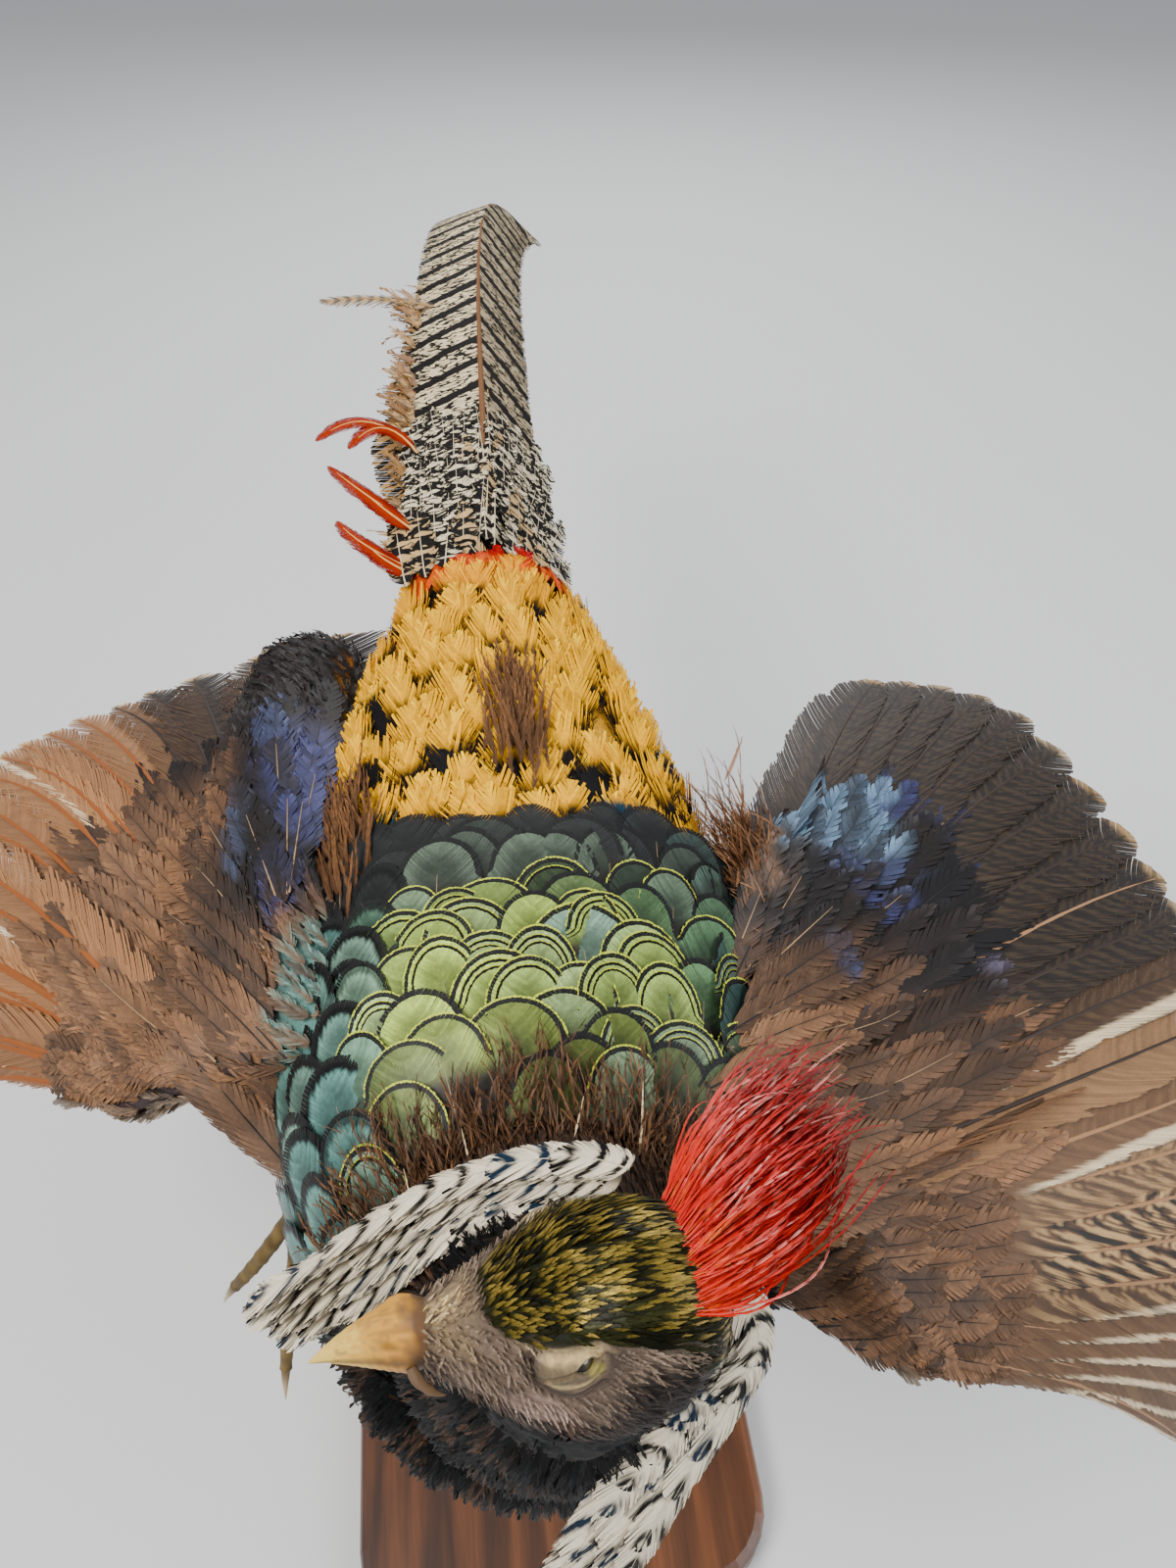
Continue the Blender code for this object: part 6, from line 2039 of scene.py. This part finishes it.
def foot(label):
    """The scaly foot: a tarsus with broad scutes in front, a spur, and toes with pads, and separate claws."""
    plan = LEGS[label]
    hock, ankle = (MANTLE + plan[part] for part in ("hock", "foot"))

    def scutes(pitch):
        def shape(rings, angle):
            t = np.arange(rings)[:, None]
            lip = ((t % pitch) / pitch) ** 2
            front = 0.5 + 0.5 * np.sin(angle)[None, :]
            return 1 + 0.11 * lip * (0.35 + 0.65 * front)
        return shape

    rows = 97
    share = np.linspace(0.0, 1.03, rows)
    line = [hock.lerp(ankle, s) for s in share]
    radii = np.interp(share, (0.0, 0.12, 0.5, 0.88, 1.03),
                      (0.0050, 0.0046, TARSUS_RADIUS, 0.0041, 0.0036)) * 0.95
    parts = [(*smooth_tube(line, radii, 22, (0, 1, 0), ridges=scutes(5)), hue(150, 128, 76))]
    claws = []
    for number, toe in enumerate(plan["toes"], 1):
        tip = MANTLE + toe
        hind = number == 4
        root = ankle.lerp(hock, 0.10) if hind else ankle
        bow = (tip - root).cross(Vector((1, 0, 0))).normalized() * (0.002 if hind else 0.004)
        base = TOE_RADIUS * (0.8 if hind else 1.15)
        points = arc(root, tip, bow, 61)
        s = np.linspace(0, 1, 61)
        knuckles = 1 + 0.10 * np.cos(s * math.pi * (4 if hind else 7)) ** 4
        radii = np.interp(s, (0, 0.2, 0.6, 1.0), (base, base * 0.95, base * 0.86, base * 0.66)) * knuckles
        radii[-1] *= 0.3
        parts.append((*smooth_tube(points, radii * 0.95, 18, (1, 0, 0), ridges=scutes(4)), hue(140, 118, 70)))
        ahead = (points[-1] - points[-2]).normalized()
        start = tip - ahead * 0.0012
        end = tip + ahead * CLAW_LENGTH * (0.8 if hind else 1.0) + Vector((0, 0, -0.0033))
        curve = arc(start, end, Vector((0, 0, 0.0008)), 18)
        thin = base * 0.62 * (1 - np.linspace(0, 1, 18) ** 1.5 * 0.95)
        verts, quads = smooth_tube(curve, thin, 14, (1, 0, 0), 0.85)
        length = np.linalg.norm(verts - np.array(start), axis=1) / CLAW_LENGTH
        tones = mix(hue(120, 98, 66), hue(196, 178, 140), step(length, 0.1, 0.9))
        claws.append((toned_mesh(f"nail_{label}_{number}", verts, quads, tones), f"claw_{label}_{number}"))
    spur_root = hock.lerp(ankle, 0.62) + Vector((0, 0.003, 0))
    spur = arc(spur_root, spur_root + Vector((0, 0.0065, -0.002)), Vector((0, 0, -0.0008)), 12)
    parts.append((*smooth_tube(spur, 0.0017 * (1 - np.linspace(0, 1, 12) * 0.92), 12, (1, 0, 0)),
                  hue(170, 150, 110)))
    verts, quads, tones = joined(parts)
    dirt = blotch(verts, 0.006, 211)[:, None]
    mesh = toned_mesh(f"foot_{label}_scaled", verts, quads, tones * (0.62 + 0.62 * dirt))
    material, tree, bsdf = shader(f"foot_scale_{label}", Roughness=0.48, Specular_IOR_Level=0.45)
    cells = added(tree, "TexVoronoi", Scale=720.0)
    cells.feature = "DISTANCE_TO_EDGE"
    edge = spread(tree, cells.outputs["Distance"], 0.0, 0.12, 0.0, 1.0)
    shaded(tree, bsdf, spread(tree, edge, 0, 1, 0.62, 1.08))
    bump(tree, bsdf, edge, 0.6, 0.0003)
    piece(f"foot_{label}_scaled", mesh, material, f"foot_{label}", slot="foot_scale")
    nail, tree, bsdf = shader(f"claw_horn_{label}", Roughness=0.38, Specular_IOR_Level=0.45)
    streak = noise(tree, None, 900.0)
    shaded(tree, bsdf, spread(tree, streak, 0.3, 0.7, 0.8, 1.1))
    for mesh, node in claws:
        piece(mesh.name, mesh, nail, node, slot="claw_horn")


# ---------------------------------------------------------------- stand, floor, lights, camera
def stand():
    """The stand keeps its solids; its base is oiled walnut and its rod brushed steel."""
    wood, tree, bsdf = shader("stand_walnut", Roughness=0.42, Coat_Weight=0.25, Coat_Roughness=0.3)
    where = added(tree, "TexCoord").outputs["Object"]
    bend = noise(tree, scaled(tree, where, (6, 1.2, 6)), 3.0, 3.0)
    rings = added(tree, "TexWave", Scale=16.0, Distortion=16.0, Detail=4.0, Detail_Scale=1.6,
                  Vector=scaled(tree, where, (1, 0.12, 1)))
    rings.wave_type = "BANDS"
    rings.bands_direction = "X"
    fibre = noise(tree, scaled(tree, where, (1, 0.05, 1)), 700.0, 4.0)
    grain = sums(tree, "ADD", sums(tree, "MULTIPLY", rings.outputs["Fac"], 0.35),
                 sums(tree, "MULTIPLY", bend, 0.65))
    colour = tint(tree, "MIX", spread(tree, grain, 0.2, 0.8), tuple(hue(64, 38, 22)), tuple(hue(128, 82, 48)))
    colour = tint(tree, "MULTIPLY", 1.0, colour, spread(tree, fibre, 0.3, 0.7, 0.72, 1.08))
    tree.links.new(colour, bsdf.inputs["Base Color"])
    bump(tree, bsdf, fibre, 0.12, 0.0003)
    steel, tree, bsdf = shader("stand_brushed_steel", Metallic=1.0, Roughness=0.34)
    where = added(tree, "TexCoord").outputs["Object"]
    brushed = noise(tree, scaled(tree, where, (1, 1, 0.02)), 1400.0, 3.0)
    colour = tint(tree, "MIX", spread(tree, brushed, 0.3, 0.7), tuple(hue(150, 150, 152)),
                  tuple(hue(196, 196, 198)))
    tree.links.new(colour, bsdf.inputs["Base Color"])
    tree.links.new(spread(tree, brushed, 0.2, 0.8, 0.26, 0.42), bsdf.inputs["Roughness"])
    for node, material in (("stand_base", wood), ("stand_rod", steel)):
        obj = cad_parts[node]
        obj.data.materials.clear()
        obj.data.materials.append(material)


def light(name, place, aim, size, power, colour=(1, 1, 1)):
    """A round lamp of a size in metres and a power in watts."""
    lamp = bpy.data.lights.new(name, "AREA")
    lamp.shape, lamp.size, lamp.energy, lamp.color = "DISK", size, power, colour
    obj = bpy.data.objects.new(name, lamp)
    obj.location = place
    obj.rotation_euler = (Vector(aim) - Vector(place)).to_track_quat("-Z", "Y").to_euler()
    bpy.context.scene.collection.objects.link(obj)


def stage():
    """A pale floor, a soft sky and three lamps."""
    mesh = bpy.data.meshes.new("floor")
    side = 6.0
    mesh.from_pydata([(-side, -side, 0), (side, -side, 0), (side, side, 0), (-side, side, 0)], [],
                     [(0, 1, 2, 3)])
    floor = bpy.data.objects.new("floor", mesh)
    bpy.context.scene.collection.objects.link(floor)
    material, _, _ = shader("floor_pale", Base_Color=(0.66, 0.66, 0.66, 1), Roughness=0.9)
    mesh.materials.append(material)
    world = bpy.data.worlds.new("studio")
    world.use_nodes = True
    sky = world.node_tree.nodes["Background"]
    filled(world.node_tree, sky, Color=(0.80, 0.84, 0.90, 1), Strength=0.54)
    bpy.context.scene.world = world
    middle = (0.0, 0.1, 0.33)
    light("key", (-0.9, -0.5, 1.7), middle, 0.9, 42, (1.0, 0.98, 0.95))
    light("fill", (1.3, -0.6, 1.1), middle, 1.2, 18, (0.95, 0.97, 1.0))
    light("rear", (0.3, 1.6, 1.3), middle, 1.0, 20)


CAMERA_FROM_MANTLE = Vector((-0.0065, -0.181, 0.2438))
SENSOR_HEIGHT = 36.0  # millimetres
CAMERA_LOW, CAMERA_TURN = 45.0, 7.2  # degrees down from level, and to the right of straight back
FOCAL_SHARE = 0.7525  # focal length as a share of the frame's height


def camera():
    """The main view: close over the head, looking down along the back."""
    low, turn = math.radians(CAMERA_LOW), math.radians(CAMERA_TURN)
    view = Vector((math.sin(turn) * math.cos(low), math.cos(turn) * math.cos(low), -math.sin(low)))
    up = Vector((math.sin(turn) * math.sin(low), math.cos(turn) * math.sin(low), math.cos(low)))
    right = view.cross(up)
    lens = bpy.data.cameras.new("camera")
    lens.sensor_fit, lens.sensor_height = "VERTICAL", SENSOR_HEIGHT
    lens.lens = FOCAL_SHARE * SENSOR_HEIGHT
    lens.clip_start = 0.01
    obj = bpy.data.objects.new("camera", lens)
    turned = Matrix((right, up, -view)).transposed().to_4x4()
    obj.matrix_world = Matrix.Translation(MANTLE + CAMERA_FROM_MANTLE) @ turned
    bpy.context.scene.collection.objects.link(obj)
    bpy.context.scene.camera = obj


# ---------------------------------------------------------------- the whole bird
camera()
stage()
stand()
make_skin()
bill()
eyes()
mantle()
nape()
rump()
underside()
throat_and_breast()
crown()
face_down()
crest()
for label in ("left", "right"):
    cape(label)
    flight_feathers(label, 0, PRIMARIES, f"wing_{label}_primary_feathers", f"wing_{label}_primaries")
    flight_feathers(label, PRIMARIES, FEATHERS, f"wing_{label}_secondary_feathers",
                    f"wing_{label}_secondaries")
    wing_coverts(label)
    scapulars(label)
    leg_down(label)
    foot(label)
tail_centre()
tail_sides()
tail_cover()
tail_fluff()
long_feathers()
